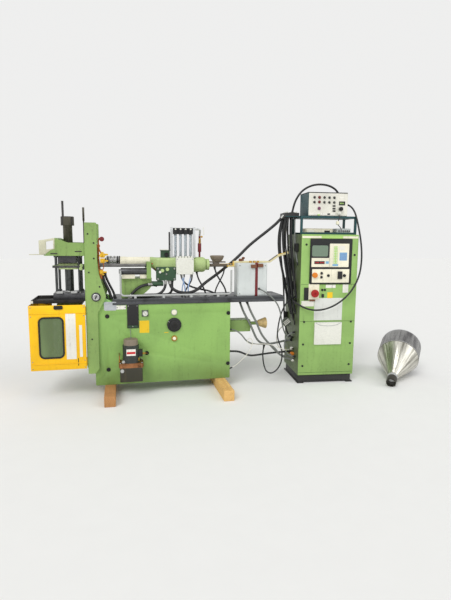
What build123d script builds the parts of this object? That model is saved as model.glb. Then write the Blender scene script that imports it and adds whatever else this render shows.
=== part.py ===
"""Small injection moulding machine: a base on two timbers, a swivelling clamp unit
set upright at its left end, a horizontal injection unit on its bed, a control
cabinet beside it and the machine's hopper lying on the floor.

Sizes are in millimetres. X runs along the machine, Y away from its front and Z up.
Places on the machine count from the left front foot of the base, places on the
cabinet from the cabinet's own left front corner. The frame's origin is at the
middle of the whole, on the floor.
"""
import os
from math import atan2, cos, degrees, pi, radians, sin, tan

from build123d import *

# Where the base's left front corner and the cabinet's stand in the frame
base_left = -1507.5
base_front = -56.5
cabinet_x = 2037.0
cabinet_y = -34.0
cabinet_turn = -5.4

# Running and seating clearances
shaft_gap = 0.1
seat_gap = 0.3

# Timbers and base
timber_side = 100.0
timber_left_x = 85.0
timber_right_inset = 150.0
timber_reach = 335.0
timber_reach_right = 400.0
timber_behind = 70.0
timber_edge = 3.0
base_w = 1315.0
base_d = 400.0
base_h = 775.0
base_edge_r = 10.0
port_r = 20.0
port_depth = 12.0
port_inset = 120.0
port_middle = 484.0
port_middle_rise = 297.0

# Bed on top of the base
bed_start = 172.0
bed_overhang = 561.0
bed_t = 57.0
bed_lip = 8.0
bed_groove = 18.0

# Clamp frame, measured from its pivot
pivot_x = 26.0
pivot_rise = 82.0
pivot_r = 20.0
washer_r = 42.0
washer_t = 6.0
cheek_t = 25.0
cheek_gap = 2.0
cheek_w = 107.0
cheek_up = 681.0
cheek_down = 729.0
cheek_left_of_pivot = 88.0
lobe_reach = 92.0
lug_r = 48.0
lug_t = 30.0
back_plate_t = 32.0
back_plate_h = 340.0

# Coolant pipe with its tap and elbow on the front cheek's edge
coolant_r = 9.0
coolant_foot = 255.0
coolant_len = 215.0
tap_r = 17.0
elbow_w = 40.0
elbow_h = 90.0

# Arm over the mould space
arm_rise = 379.0
arm_h = 115.0
arm_raise = 46.0
arm_reach = 358.0
arm_web = 18.0
arm_floor = 22.0
tongue_w = 129.0
tongue_d = 54.0
tongue_t = 6.0

# Press column, platens and tie bars
press_x = -226.0
ram_r = 40.0
tie_r = 12.0
tie_dx = 102.0
tie_dy = 110.0
upper_platen_t = 66.0
upper_platen_w = 164.0
platen_d = 280.0
mould_gap = 10.0
mould_plate_t = 17.0
mould_plate_w = 164.0
mould_plate_d = 180.0
crosshead_t = 20.0
crosshead_w = 268.0
stroke = 180.0
lower_platen_t = 76.0
lower_platen_drop = 48.0
tray_left = -540.0
tray_right = -87.0
tray_front = -20.0
tray_d = 372.0
tray_lip = 32.0
tray_t = 4.0
collar_r = 19.0
collar_t = 16.0

# Clamp cylinder under the tray, and the one on the arm
cylinder_r = 100.0
cylinder_h = 470.0
cylinder_cap_t = 42.0
cylinder_cap_r = 112.0
top_neck_r = 42.0
top_neck_h = 255.0
top_cap_r = 60.0
top_cap_h = 84.0
top_rod_r = 10.0
top_rod_h = 143.0
top_rod_off = 39.0
rear_rod_r = 7.0
rear_rod_h = 435.0
rear_rod_inset = 28.0
rear_rod_in = 50.0
sleeve_r = 10.0
sleeve_h = 130.0

# Sliding guard in front of the clamp
guard_left = -563.0
guard_right = -76.0
guard_front = -48.0
guard_d = 410.0
guard_h = 603.0
guard_sheet = 3.0
guard_flange = 40.0
guard_back_w = 145.0
guard_drop = 15.0
guard_hem = 12.0
window_w = 207.0
window_h = 373.0
window_r = 42.0
window_left = 85.0
window_up = 117.0
gasket_w = 14.0
gasket_t = 10.0
rail_t = 8.0
rail_w = 15.0
runner_h = 80.0
handle_left = 256.0
handle_w = 78.0
handle_h = 34.0
handle_t = 9.0
guard_margin = 20.0

# Fittings on the distribution box
fitting_r = 11.0
fitting_h = 17.0

# Injection unit
unit_z = 1291.0
nozzle_len = 20.0
heater_len = 132.0
heater_r = 28.0
cover_len = 288.0
cover_r = 46.0
cover_skirt = 44.0
casting_x = 537.0
flare_len = 63.0
casting_len = 428.0
casting_d = 180.0
casting_h = 142.0
casting_drop = 121.0
dome_len = 163.0
dome_r = 76.0
dome_rim = 6.0
dome_step = 20.0
shoulder_x = 95.0
neck_x = 135.0
neck_drop = 34.0
rod_r = 15.0
rod_dy = 140.0
rod_z = 1245.0
rod_block = 65.0
block_h = 60.0
block_past = 25.0
carriage_r = 32.0
carriage_len = 241.0
carriage_neck = 18.0
carriage_pads = ((6, 130), (177, 240))
pad_d = 60.0
support_x = 255.0
support_foot = 125.0
support_top = 186.0
support_d = 220.0
arch_drop = 76.0
arch_r = 260.0
bracket_rise = 32.0

# Terminal box on the bed
box_x = 1389.0
box_w = 311.0
box_d = 140.0
box_h = 330.0
gland_xs = (150, 190, 228)
gland_y = 60.0
gland_r = 13.0
gland_h = 22.0
stay_x = 196.0
stay_w = 28.0
stay_t = 7.0
stay_past = 8.0

# Control cabinet
cabinet_w = 604.0
cabinet_d = 550.0
cabinet_h = 1466.0
plinth_h = 77.0
plinth_inset = 18.0
skid_h = 12.0
skid_w = 70.0

# Hopper lying on the floor
hopper_x = 2941.0
hopper_y = -340.0
hopper_heading = 49.5
hopper_r = 217.0
spout_r = 50.0
spout_len = 120.0
cone_len = 378.0
band_len = 259.0
hopper_wall = 3.0
collar_len = 48.0
collar_wall = 10.0

# Heights and edges that follow from these
timber_right_x = base_w - timber_right_inset
base_top = timber_side + base_h
bed_top = base_top + bed_t
bed_right = base_w + bed_overhang
unit_y = base_d / 2
pivot_z = base_top + pivot_rise
cheek_left = pivot_x - cheek_left_of_pivot
cheek_right = cheek_left + cheek_w
cheek_top = pivot_z + cheek_up
cheek_foot = pivot_z - cheek_down
cheek_inner = -cheek_gap
arm_bottom = pivot_z + arm_rise
arm_top = arm_bottom + arm_h
upper_platen_bottom = arm_bottom - upper_platen_t
mould_top = upper_platen_bottom - mould_gap
crosshead_top = mould_top - mould_plate_t
crosshead_bottom = crosshead_top - crosshead_t
mould_bottom = crosshead_bottom - mould_plate_t
tray_bottom = pivot_z - lower_platen_drop - tray_t
lower_platen_top = tray_bottom + tray_t + lower_platen_t
cylinder_bottom = tray_bottom - cylinder_cap_t - cylinder_h
ram_foot = tray_bottom - 2 * cylinder_cap_t
cover_left = casting_x - cover_len
heater_left = cover_left - heater_len
casting_left = casting_x + flare_len
casting_right = casting_left + casting_len - flare_len
casting_bottom = unit_z - casting_drop
casting_top = casting_bottom + casting_h
casting_front = unit_y - casting_d / 2
plinth_top = skid_h + plinth_h
cabinet_top = plinth_top + cabinet_h

os.makedirs("parts", exist_ok=True)
pieces = []


def front(y):
    """Upright plane seen from the front: sketch x along the machine, y up."""
    return Plane(origin=(base_left, base_front + y, 0), x_dir=(1, 0, 0), z_dir=(0, -1, 0))


def level(z):
    """Level plane: sketch x along the machine, y away from the front."""
    return Plane(origin=(base_left, base_front, z))


def across(x):
    """Upright plane across the machine: sketch x away from the front, y up."""
    return Plane(origin=(base_left + x, base_front, 0), x_dir=(0, 1, 0), z_dir=(1, 0, 0))


cabinet_corner = Plane(
    origin=(base_left + cabinet_x, base_front + cabinet_y, 0),
    x_dir=(cos(radians(cabinet_turn)), sin(radians(cabinet_turn)), 0),
    z_dir=(0, 0, 1),
)


def cabinet_front(y):
    """Upright plane along the cabinet's front, moved back by y."""
    start = cabinet_corner.from_local_coords(Vector(0, y, 0))
    return Plane(origin=start, x_dir=cabinet_corner.x_dir, z_dir=-cabinet_corner.y_dir)


def cabinet_level(z):
    """Level plane counted from the cabinet's corner."""
    return Plane(origin=cabinet_corner.from_local_coords(Vector(0, 0, z)),
                 x_dir=cabinet_corner.x_dir, z_dir=(0, 0, 1))


def cabinet_across(x):
    """Upright plane across the cabinet, moved right by x."""
    start = cabinet_corner.from_local_coords(Vector(x, 0, 0))
    return Plane(origin=start, x_dir=cabinet_corner.y_dir, z_dir=cabinet_corner.x_dir)


def finish(builder, name):
    """Label a finished piece and keep it for writing."""
    builder.part.label = name
    pieces.append(builder)


# Timbers under the base
with BuildPart() as timbers:
    for x, reach in ((timber_left_x, timber_reach), (timber_right_x, timber_reach_right)):
        with BuildSketch(front(base_d + timber_behind)):
            with Locations((x + timber_side / 2, timber_side / 2)):
                Rectangle(timber_side, timber_side)
        extrude(amount=reach + base_d + timber_behind)
    chamfer(timbers.edges().filter_by(Axis.Y), timber_edge)
finish(timbers, "timbers")

# Base cabinet with its round service ports
port_right = base_w - port_r - 2
port_upper = base_top - 107
port_lower = timber_side + 151
port_places = [
    (port_inset, port_upper), (port_inset, port_lower), (port_middle, timber_side + port_middle_rise),
    (port_right, port_upper), (port_right, port_lower),
]
with BuildPart() as base_cabinet:
    with BuildSketch(level(timber_side)):
        with Locations((base_w / 2, base_d / 2)):
            Rectangle(base_w, base_d)
    extrude(amount=base_h)
    fillet(base_cabinet.edges().filter_by(Axis.Z), base_edge_r)
    with BuildSketch(front(0)):
        with Locations(*port_places):
            Circle(port_r)
    extrude(amount=-port_depth, mode=Mode.SUBTRACT)
finish(base_cabinet, "base_cabinet")

# Bed: a channel section with a groove along its front and two lugs for the clamp's pivot
with BuildPart() as bed:
    with BuildSketch(across(bed_start)):
        with Locations(((base_d - bed_lip) / 2, base_top + bed_t / 2)):
            Rectangle(base_d + bed_lip, bed_t)
        with Locations((-bed_lip, base_top + bed_t / 2)):
            Rectangle(2 * bed_lip, bed_groove, mode=Mode.SUBTRACT)
    extrude(amount=bed_right - bed_start)
    chamfer(bed.edges().filter_by(Axis.X).group_by(Axis.Z)[-1], 3)
    for far_face in (lug_t, base_d):
        with BuildSketch(front(far_face)):
            with BuildLine():
                RadiusArc((pivot_x - lug_r, pivot_z), (pivot_x + lug_r, pivot_z), lug_r)
                Polyline((pivot_x + lug_r, pivot_z), (bed_start, bed_top - bed_t / 2),
                         (bed_start, base_top), (pivot_x - lug_r, base_top),
                         (pivot_x - lug_r, pivot_z))
            make_face()
            with Locations((pivot_x, pivot_z)):
                Circle(pivot_r + shaft_gap, mode=Mode.SUBTRACT)
        extrude(amount=lug_t)
finish(bed, "bed")

# Pivot shaft with a washer and a bolt head on each end
shaft_end = cheek_gap + cheek_t
with BuildPart() as pivot_shaft:
    with BuildSketch(front(base_d + shaft_end)):
        with Locations((pivot_x, pivot_z)):
            Circle(pivot_r)
    extrude(amount=base_d + 2 * shaft_end)
    for face_y, way in ((-shaft_end, 1), (base_d + shaft_end, -1)):
        with BuildSketch(front(face_y)):
            with Locations((pivot_x, pivot_z)):
                Circle(washer_r)
        extrude(amount=way * washer_t)
        with BuildSketch(front(face_y - way * washer_t)):
            with Locations((pivot_x, pivot_z)):
                RegularPolygon(pivot_r, 6)
        extrude(amount=way * 2 * washer_t)
finish(pivot_shaft, "pivot_shaft")


# Tall cheeks of the clamp frame; the front one carries the guard's rail
rail_y = -cheek_gap - cheek_t / 2
guard_top = tray_bottom - guard_drop
guard_bottom = guard_top - guard_h


def cheek(far_face, rail, name):
    narrow = cheek_right - 7
    with BuildPart() as plate:
        with BuildSketch(front(far_face)):
            with BuildLine():
                Polyline(
                    (cheek_left, cheek_foot), (narrow - 35, cheek_foot),
                    (narrow, cheek_foot + 46), (narrow, pivot_z - 155),
                    (pivot_x + lobe_reach, pivot_z), (cheek_right + 12, pivot_z + 210),
                    (cheek_right, pivot_z + 330), (cheek_right, cheek_top),
                    (cheek_left, cheek_top), close=True,
                )
            make_face()
        extrude(amount=cheek_t)
        upright = plate.edges().filter_by(Axis.Y)
        fillet(upright.sort_by(Axis.X)[-1:], 60)
        fillet(plate.edges().filter_by(Axis.Y).group_by(Axis.Z)[-1], 9)
        with BuildSketch(front(far_face)):
            with Locations((pivot_x, pivot_z)):
                Circle(pivot_r + shaft_gap)
        extrude(amount=cheek_t, mode=Mode.SUBTRACT)
        if rail:
            with BuildSketch(level(guard_bottom)):
                with Locations((cheek_left - rail_t / 2, rail_y)):
                    Rectangle(rail_t, rail_w)
            extrude(amount=arm_bottom - guard_bottom)
    finish(plate, name)


cheek(cheek_inner, True, "clamp_cheek_front")
cheek(base_d + cheek_gap + cheek_t, False, "clamp_cheek_rear")

between = base_d + 2 * cheek_gap

# Arm over the mould space: an open-topped channel with a stepped end
arm_left = cheek_left - arm_reach
arm_right = cheek_right - 7
with BuildPart() as clamp_arm:
    with BuildSketch(front(base_d + cheek_gap)):
        with BuildLine():
            Polyline(
                (arm_left, arm_bottom), (arm_left + 66, arm_bottom + 52),
                (arm_left + 97, arm_bottom + 62), (arm_left + 101, arm_top + arm_raise),
                (press_x + 16, arm_top + 5), (arm_right, arm_top),
                (arm_right, arm_bottom), close=True,
            )
        make_face()
    extrude(amount=between)
    with BuildSketch(front(base_d + cheek_gap - arm_web)):
        with BuildLine():
            Polyline(
                (arm_left + 120, arm_bottom + arm_floor), (arm_left + 120, arm_top + 2 * arm_raise),
                (arm_right - arm_web, arm_top + 2 * arm_raise),
                (arm_right - arm_web, arm_bottom + arm_floor), close=True,
            )
        make_face()
    extrude(amount=between - 2 * arm_web, mode=Mode.SUBTRACT)
finish(clamp_arm, "clamp_arm")

# Cream sheet bracket on the arm's end, with a window and a tongue
with BuildPart() as end_bracket:
    with BuildSketch(front(arm_web)):
        with BuildLine():
            Polyline(
                (arm_left - 36, arm_bottom + 12), (arm_left - 36, arm_bottom + 137),
                (arm_left + 101 - seat_gap, arm_top + arm_raise),
                (arm_left + 97 - seat_gap, arm_bottom + 62), (arm_left + 66 - seat_gap, arm_bottom + 53),
                (arm_left + 20, arm_bottom + 17), close=True,
            )
        make_face()
        with BuildLine():
            Polyline(
                (arm_left + 24, arm_bottom + 57), (arm_left + 24, arm_bottom + 126),
                (arm_left + 88, arm_bottom + 140), (arm_left + 84, arm_bottom + 66), close=True,
            )
        make_face(mode=Mode.SUBTRACT)
    extrude(amount=arm_web)
    with BuildSketch(level(arm_bottom + 8)):
        with Locations((arm_left - 55, arm_web / 2 + 12)):
            Rectangle(tongue_w, tongue_d)
    extrude(amount=tongue_t)
finish(end_bracket, "end_bracket")

# Column and rod that stand on the arm
rear_rod_place = (cheek_left - rear_rod_inset, base_d - arm_web - rear_rod_in)
with BuildPart() as arm_cylinders:
    with BuildSketch(level(arm_bottom + arm_floor)):
        with Locations((press_x, unit_y)):
            Circle(top_neck_r)
    extrude(amount=top_neck_h)
    with BuildSketch(level(arm_bottom + arm_floor + top_neck_h)):
        with Locations((press_x, unit_y)):
            Circle(top_cap_r)
    extrude(amount=top_cap_h)
    fillet(arm_cylinders.edges().filter_by(GeomType.CIRCLE).group_by(Axis.Z)[-1], 6)
    with BuildSketch(level(arm_bottom + arm_floor + top_neck_h + top_cap_h)):
        with Locations((press_x - top_rod_off, unit_y)):
            Circle(top_rod_r)
    extrude(amount=top_rod_h)
    with BuildSketch(level(arm_bottom + arm_floor)):
        with Locations(rear_rod_place):
            Circle(rear_rod_r)
    extrude(amount=rear_rod_h)
    with BuildSketch(level(arm_bottom + arm_floor + rear_rod_h - sleeve_h)):
        with Locations(rear_rod_place):
            Circle(sleeve_r)
    extrude(amount=sleeve_h)
finish(arm_cylinders, "arm_cylinders")

# Fixed upper platen, hung under the arm
with BuildPart() as upper_platen:
    with BuildSketch(level(upper_platen_bottom)):
        with Locations((press_x, unit_y)):
            RectangleRounded(upper_platen_w, platen_d, 8)
    extrude(amount=upper_platen_t)
finish(upper_platen, "upper_platen")

# Tie bars from the lower platen to the arm, each with a collar at both ends
tie_places = [(press_x + sx * tie_dx, unit_y + sy * tie_dy) for sx in (-1, 1) for sy in (-1, 1)]
with BuildPart() as tie_bars:
    with BuildSketch(level(lower_platen_top)):
        with Locations(*tie_places):
            Circle(tie_r)
    extrude(amount=arm_bottom - lower_platen_top)
    for collar_z in (lower_platen_top, arm_bottom - collar_t):
        with BuildSketch(level(collar_z)):
            with Locations(*tie_places):
                Circle(collar_r)
        extrude(amount=collar_t)
finish(tie_bars, "tie_bars")

# Moving platen on the tie bars, with a mould plate above and below
with BuildPart() as moving_platen:
    with BuildSketch(level(crosshead_bottom)):
        with Locations((press_x, unit_y)):
            RectangleRounded(crosshead_w, platen_d, 20)
        with Locations(*tie_places):
            Circle(tie_r + 1, mode=Mode.SUBTRACT)
    extrude(amount=crosshead_t)
    for bottom in (crosshead_top, mould_bottom):
        with BuildSketch(level(bottom)):
            with Locations((press_x, unit_y)):
                Rectangle(mould_plate_w, mould_plate_d)
        extrude(amount=mould_plate_t)
finish(moving_platen, "moving_platen")

with BuildPart() as press_ram:
    with BuildSketch(level(ram_foot)):
        with Locations((press_x, unit_y)):
            Circle(ram_r)
    extrude(amount=mould_bottom - ram_foot)
finish(press_ram, "press_ram")

# Drip tray and the fixed lower platen that stands in it
ram_bore = ram_r + 1
with BuildPart() as drip_tray:
    with BuildSketch(level(tray_bottom)):
        with Locations(((tray_left + tray_right) / 2, tray_front + tray_d / 2)):
            Rectangle(tray_right - tray_left, tray_d)
    extrude(amount=tray_lip)
    with BuildSketch(level(tray_bottom + tray_t)):
        with Locations(((tray_left + tray_t + tray_right) / 2, tray_front + tray_d / 2)):
            Rectangle(tray_right - tray_left - tray_t, tray_d - 2 * tray_t)
    extrude(amount=tray_lip, mode=Mode.SUBTRACT)
    with BuildSketch(level(tray_bottom)):
        with Locations((press_x, unit_y)):
            Circle(ram_bore)
    extrude(amount=tray_t, mode=Mode.SUBTRACT)
finish(drip_tray, "drip_tray")

lower_left = press_x - crosshead_w / 2
with BuildPart() as lower_platen:
    with BuildSketch(level(tray_bottom + tray_t)):
        with Locations(((lower_left + cheek_left) / 2, unit_y)):
            Rectangle(cheek_left - lower_left, 2 * (tie_dy + collar_r))
        with Locations((press_x, unit_y)):
            Circle(ram_bore, mode=Mode.SUBTRACT)
    extrude(amount=lower_platen_t)
    with BuildSketch(level(lower_platen_top - back_plate_h)):
        with Locations((cheek_left + back_plate_t / 2, unit_y)):
            Rectangle(back_plate_t, between)
    extrude(amount=back_plate_h)
finish(lower_platen, "lower_platen")

# Clamp cylinder below the tray, bored for the ram and its stroke
with BuildPart() as clamp_cylinder:
    with BuildSketch(level(tray_bottom - cylinder_cap_t)):
        with Locations((press_x, unit_y)):
            RectangleRounded(2 * cylinder_cap_r, 2 * cylinder_cap_r, 22)
    extrude(amount=cylinder_cap_t)
    with BuildSketch(level(cylinder_bottom)):
        with Locations((press_x, unit_y)):
            Circle(cylinder_r)
    extrude(amount=cylinder_h)
    with BuildSketch(level(cylinder_bottom)):
        with Locations((press_x, unit_y)):
            Circle(cylinder_cap_r)
    extrude(amount=cylinder_cap_t)
    with BuildSketch(level(tray_bottom)):
        with Locations((press_x, unit_y)):
            Circle(ram_bore)
    extrude(amount=-(tray_bottom - ram_foot + stroke + cylinder_cap_t), mode=Mode.SUBTRACT)
finish(clamp_cylinder, "clamp_cylinder")

# Guard hood: one bent sheet with hems, window and runners
window_bottom = guard_bottom + window_up
window_x = guard_left + window_left + window_w / 2
window_z = window_bottom + window_h / 2
guard_back = guard_front + guard_d
with BuildPart() as guard_hood:
    with BuildSketch(level(guard_bottom)):
        with BuildLine():
            Polyline(
                (guard_right, guard_front + guard_flange), (guard_right, guard_front),
                (guard_left, guard_front), (guard_left, guard_back),
                (guard_left + guard_back_w, guard_back),
                (guard_left + guard_back_w, guard_back - guard_sheet),
                (guard_left + guard_sheet, guard_back - guard_sheet),
                (guard_left + guard_sheet, guard_front + guard_sheet),
                (guard_right - guard_sheet, guard_front + guard_sheet),
                (guard_right - guard_sheet, guard_front + guard_flange), close=True,
            )
        make_face()
    extrude(amount=guard_h)
    for hem_z in (guard_bottom, guard_top - guard_sheet):
        with BuildSketch(level(hem_z)):
            with Locations(((guard_left + guard_right) / 2, guard_front + guard_hem / 2)):
                Rectangle(guard_right - guard_left, guard_hem)
        extrude(amount=guard_sheet)
    with BuildSketch(front(guard_front + guard_sheet)):
        with Locations((window_x, window_z)):
            RectangleRounded(window_w, window_h, window_r)
    extrude(amount=guard_sheet, mode=Mode.SUBTRACT)
    for runner_z in (guard_bottom + guard_margin, guard_top - guard_margin - runner_h):
        with BuildSketch(level(runner_z)):
            with Locations(((guard_right + cheek_left - rail_t - seat_gap) / 2, rail_y)):
                Rectangle(cheek_left - rail_t - seat_gap - guard_right, rail_w)
        extrude(amount=runner_h)
finish(guard_hood, "guard_hood")

with BuildPart() as guard_trim:
    with BuildSketch(front(guard_front)):
        with Locations((window_x, window_z)):
            RectangleRounded(window_w + gasket_w, window_h + gasket_w, window_r + gasket_w / 2)
            RectangleRounded(window_w - gasket_w, window_h - gasket_w, window_r - gasket_w / 2,
                             mode=Mode.SUBTRACT)
    extrude(amount=gasket_t / 2)
    with BuildSketch(front(guard_front)):
        with Locations((guard_left + handle_left, guard_top - guard_margin)):
            RectangleRounded(handle_w, handle_h, 10)
    extrude(amount=handle_t)
finish(guard_trim, "guard_trim")

with BuildPart() as window_glass:
    with BuildSketch(front(guard_front + guard_sheet)):
        with Locations((window_x, window_z)):
            RectangleRounded(window_w - 2 * seat_gap, window_h - 2 * seat_gap, window_r - seat_gap)
    extrude(amount=guard_sheet)
finish(window_glass, "window_glass")

# Nozzle, heater bands and barrel
with BuildPart() as barrel:
    with BuildSketch(Plane(origin=(base_left, base_front + unit_y, unit_z), x_dir=(1, 0, 0),
                           z_dir=(0, -1, 0))):
        with BuildLine():
            Polyline(
                (heater_left - nozzle_len, 0), (heater_left - nozzle_len, 6),
                (heater_left, heater_r - 6), (heater_left, heater_r), (cover_left, heater_r),
                (cover_left, heater_r - 3), (casting_x, heater_r - 3), (casting_x, 0), close=True,
            )
        make_face()
    revolve(axis=Axis((base_left, base_front + unit_y, unit_z), (1, 0, 0)))
    for band_x in (heater_left + 2, cover_left - 12):
        with BuildSketch(across(band_x)):
            with Locations((unit_y, unit_z)):
                Circle(heater_r + 4)
                Circle(heater_r, mode=Mode.SUBTRACT)
        extrude(amount=9)
finish(barrel, "barrel")

# Barrel shield: a half-round cover with straight skirts and a collar
shield_t = 3.0
shield_collar = 55.0
shield_z = unit_z + heater_r - cover_r


with BuildPart() as barrel_shield:
    for half_w, run in ((cover_r, cover_len), (cover_r + shield_t, shield_collar)):
        with BuildSketch(across(cover_left)):
            with BuildLine():
                Polyline((unit_y + half_w, shield_z), (unit_y + half_w, shield_z - cover_skirt),
                         (unit_y - half_w, shield_z - cover_skirt), (unit_y - half_w, shield_z))
                RadiusArc((unit_y - half_w, shield_z), (unit_y + half_w, shield_z), half_w)
            make_face()
        extrude(amount=run)
    with BuildSketch(across(cover_left)):
        with Locations((unit_y, unit_z)):
            Circle(heater_r - 3)
    extrude(amount=cover_len, mode=Mode.SUBTRACT)
finish(barrel_shield, "barrel_shield")

# Injection casting: flared throat, body, domed drive housing and charging head with its port
casting_r = 22.0
head_x = 687.0
head_w = 96.0
head_d = 102.0
charge_h = 66.0
lid_t = 9.0
charge_r = 19.0
dome_z = (casting_bottom + casting_top) / 2
shoulder = casting_right + shoulder_x
neck = casting_right + neck_x
with BuildPart() as injection_casting:
    with BuildSketch(across(casting_x)):
        with Locations((unit_y, unit_z - 20)):
            RectangleRounded(2 * cover_r - 4, 96, 30)
    with BuildSketch(across(casting_left)):
        with Locations((unit_y, dome_z)):
            RectangleRounded(casting_d, casting_h, casting_r)
    loft()
    with BuildSketch(across(casting_left)):
        with Locations((unit_y, dome_z)):
            RectangleRounded(casting_d, casting_h, casting_r)
    extrude(amount=casting_right - casting_left)
    with BuildSketch(Plane(origin=(base_left, base_front + unit_y, dome_z), x_dir=(1, 0, 0),
                           z_dir=(0, -1, 0))):
        with BuildLine():
            Polyline((casting_right, 0), (casting_right, dome_r - dome_rim),
                     (casting_right + dome_step, dome_r), (shoulder, dome_r))
            RadiusArc((shoulder, dome_r), (neck, dome_r - neck_drop), neck - shoulder + 4)
            Polyline((neck, dome_r - neck_drop), (neck, dome_r - dome_step),
                     (casting_right + dome_len, dome_r - dome_step), (casting_right + dome_len, 0),
                     (casting_right, 0))
        make_face()
    revolve(axis=Axis((base_left, base_front + unit_y, dome_z), (1, 0, 0)))
    with BuildSketch(level(casting_top)):
        with Locations((head_x, unit_y)):
            RectangleRounded(head_w - 6, head_d - 8, 20)
    extrude(amount=charge_h)
    with BuildSketch(front(unit_y - 37)):
        with Locations((head_x + 9, casting_top + 30)):
            Circle(charge_r)
    extrude(amount=20, mode=Mode.SUBTRACT)
    with BuildSketch(level(casting_top + charge_h)):
        with Locations((head_x, unit_y)):
            RectangleRounded(head_w, head_d, 24)
    extrude(amount=lid_t)
finish(injection_casting, "injection_casting")

# Guide rods from the clamp's cheeks to the casting's bracket
bracket_t = 42.0
with BuildPart() as guide_rods:
    front_block = (cheek_inner, unit_y - rod_dy + block_past)
    rear_block = (unit_y + rod_dy - block_past, base_d + cheek_gap)
    for near, far in (front_block, rear_block):
        with BuildSketch(across(cheek_right - rod_block)):
            with Locations(((near + far) / 2, rod_z)):
                Rectangle(far - near, block_h)
        extrude(amount=rod_block)
    with BuildSketch(across(cheek_right)):
        with Locations((unit_y - rod_dy, rod_z), (unit_y + rod_dy, rod_z)):
            Circle(rod_r)
    extrude(amount=casting_x - bracket_t - cheek_right)
finish(guide_rods, "guide_rods")

support_z = bed_top + support_top
carriage_z = rod_z - rod_r - carriage_r - 11
with BuildPart() as carriage_cylinder:
    with BuildSketch(across(casting_x - bracket_t - carriage_len)):
        with Locations((unit_y - rod_dy, carriage_z)):
            Circle(carriage_r)
    extrude(amount=carriage_len)
    with BuildSketch(across(casting_x - bracket_t - carriage_len - carriage_neck)):
        with Locations((unit_y - rod_dy, carriage_z)):
            Circle(carriage_r - 12)
    extrude(amount=carriage_neck)
    for pad_left, pad_right in carriage_pads:
        with BuildSketch(level(support_z)):
            with Locations((support_x + (pad_left + pad_right) / 2, unit_y - support_d / 2 - 10)):
                Rectangle(pad_right - pad_left, pad_d)
        extrude(amount=carriage_z - carriage_r + 8 - support_z)
finish(carriage_cylinder, "carriage_cylinder")

# Casting foot of the unit, arched towards the right, with the rods' bracket on it
support_right = casting_x + 8
bracket_top = rod_z + bracket_rise
with BuildPart() as unit_support:
    with BuildSketch(front(unit_y + support_d / 2)):
        with BuildLine():
            Polyline((support_x + support_foot, bed_top), (support_x, bed_top), (support_x, support_z),
                     (support_right, support_z), (support_right, support_z - arch_drop))
            RadiusArc((support_right, support_z - arch_drop), (support_x + support_foot, bed_top),
                      arch_r)
        make_face()
    extrude(amount=support_d)
    with BuildSketch(across(casting_x - bracket_t)):
        for side in (-1, 1):
            inner = unit_y + side * (cover_r + shield_t + 1)
            outer = unit_y + side * (rod_dy + rod_r + 17)
            with Locations(((inner + outer) / 2, (bracket_top + support_z) / 2)):
                Rectangle(abs(outer - inner), bracket_top - support_z)
        with Locations((unit_y, support_z + 14)):
            Rectangle(2 * rod_dy, 28)
    extrude(amount=bracket_t)
finish(unit_support, "unit_support")

# Valve block and small cylinder in front of the casting
valve_x = 683.0
valve_w = 190.0
valve_h = 132.0
valve_t = 56.0
valve_z = casting_bottom - 10
valve_bottom = valve_z - valve_h / 2
small_x = 546.0
small_len = 110.0
small_r = 24.0
small_gap = 12.0
with BuildPart() as valve_block:
    with BuildSketch(front(casting_front)):
        with Locations((valve_x, valve_z)):
            RectangleRounded(valve_w, valve_h, 10)
    extrude(amount=valve_t)
    with BuildSketch(level(valve_bottom - small_gap)):
        with Locations((small_x + small_len - 36, casting_front - valve_t / 2)):
            Rectangle(40, 30)
    extrude(amount=small_gap)
    with BuildSketch(across(small_x)):
        with Locations((casting_front - valve_t / 2, valve_bottom - 30)):
            Circle(small_r)
    extrude(amount=small_len)
finish(valve_block, "valve_block")

# Distribution box on the casting's front, with a row of fittings
spread_x = 779.0
spread_w = 171.0
spread_d = 75.0
spread_h = 160.0
spread_bottom = casting_bottom - 16
with BuildPart() as distribution_box:
    with BuildSketch(front(casting_front)):
        with Locations((spread_x + spread_w / 2, spread_bottom + spread_h / 2)):
            RectangleRounded(spread_w, spread_h, 6)
    extrude(amount=spread_d)
    fillet(distribution_box.faces().sort_by(Axis.Y)[0].edges(), 4)
    with BuildSketch(level(spread_bottom + spread_h)):
        with Locations((spread_x + spread_w / 2, casting_front - spread_d / 2)):
            with GridLocations(spread_w / 6, 1, 6, 1):
                Circle(fitting_r)
    extrude(amount=fitting_h)
    chamfer(distribution_box.edges().group_by(Axis.Z)[-1], fitting_h / 4)
finish(distribution_box, "distribution_box")

# Flow meter bank on the casting
meter_left = 736.0
meter_w = 248.0
meter_h = 300.0
post_w = 24.0
post_d = 26.0
meter_foot = 16.0
head_h = 69.0
tube_count = 4
meter_tube_r = 15.0
tube_step = (meter_w - 2 * post_w) / tube_count
meter_mid = meter_left + meter_w / 2
meter_y = unit_y - 40
with BuildPart() as meter_frame:
    with BuildSketch(front(meter_y + post_d / 2)):
        with Locations((meter_mid, casting_top + meter_h / 2)):
            Rectangle(meter_w, meter_h)
            Rectangle(meter_w - 2 * post_w, meter_h + 1, mode=Mode.SUBTRACT)
        with Locations((meter_mid, casting_top + meter_foot / 2)):
            Rectangle(meter_w, meter_foot)
    extrude(amount=post_d)
    with BuildSketch(level(casting_top + meter_h - head_h)):
        with Locations((meter_mid, meter_y)):
            with GridLocations(tube_step, 1, tube_count, 1):
                RectangleRounded(tube_step, post_d + 14, 9)
    extrude(amount=head_h - 8)
finish(meter_frame, "meter_frame")

with BuildPart() as meter_tubes:
    with BuildSketch(level(casting_top + meter_foot)):
        with Locations((meter_mid, meter_y)):
            with GridLocations(tube_step, 1, tube_count, 1):
                Circle(meter_tube_r)
                Circle(meter_tube_r - 4, mode=Mode.SUBTRACT)
    extrude(amount=meter_h - head_h - meter_foot)
finish(meter_tubes, "meter_tubes")

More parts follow.
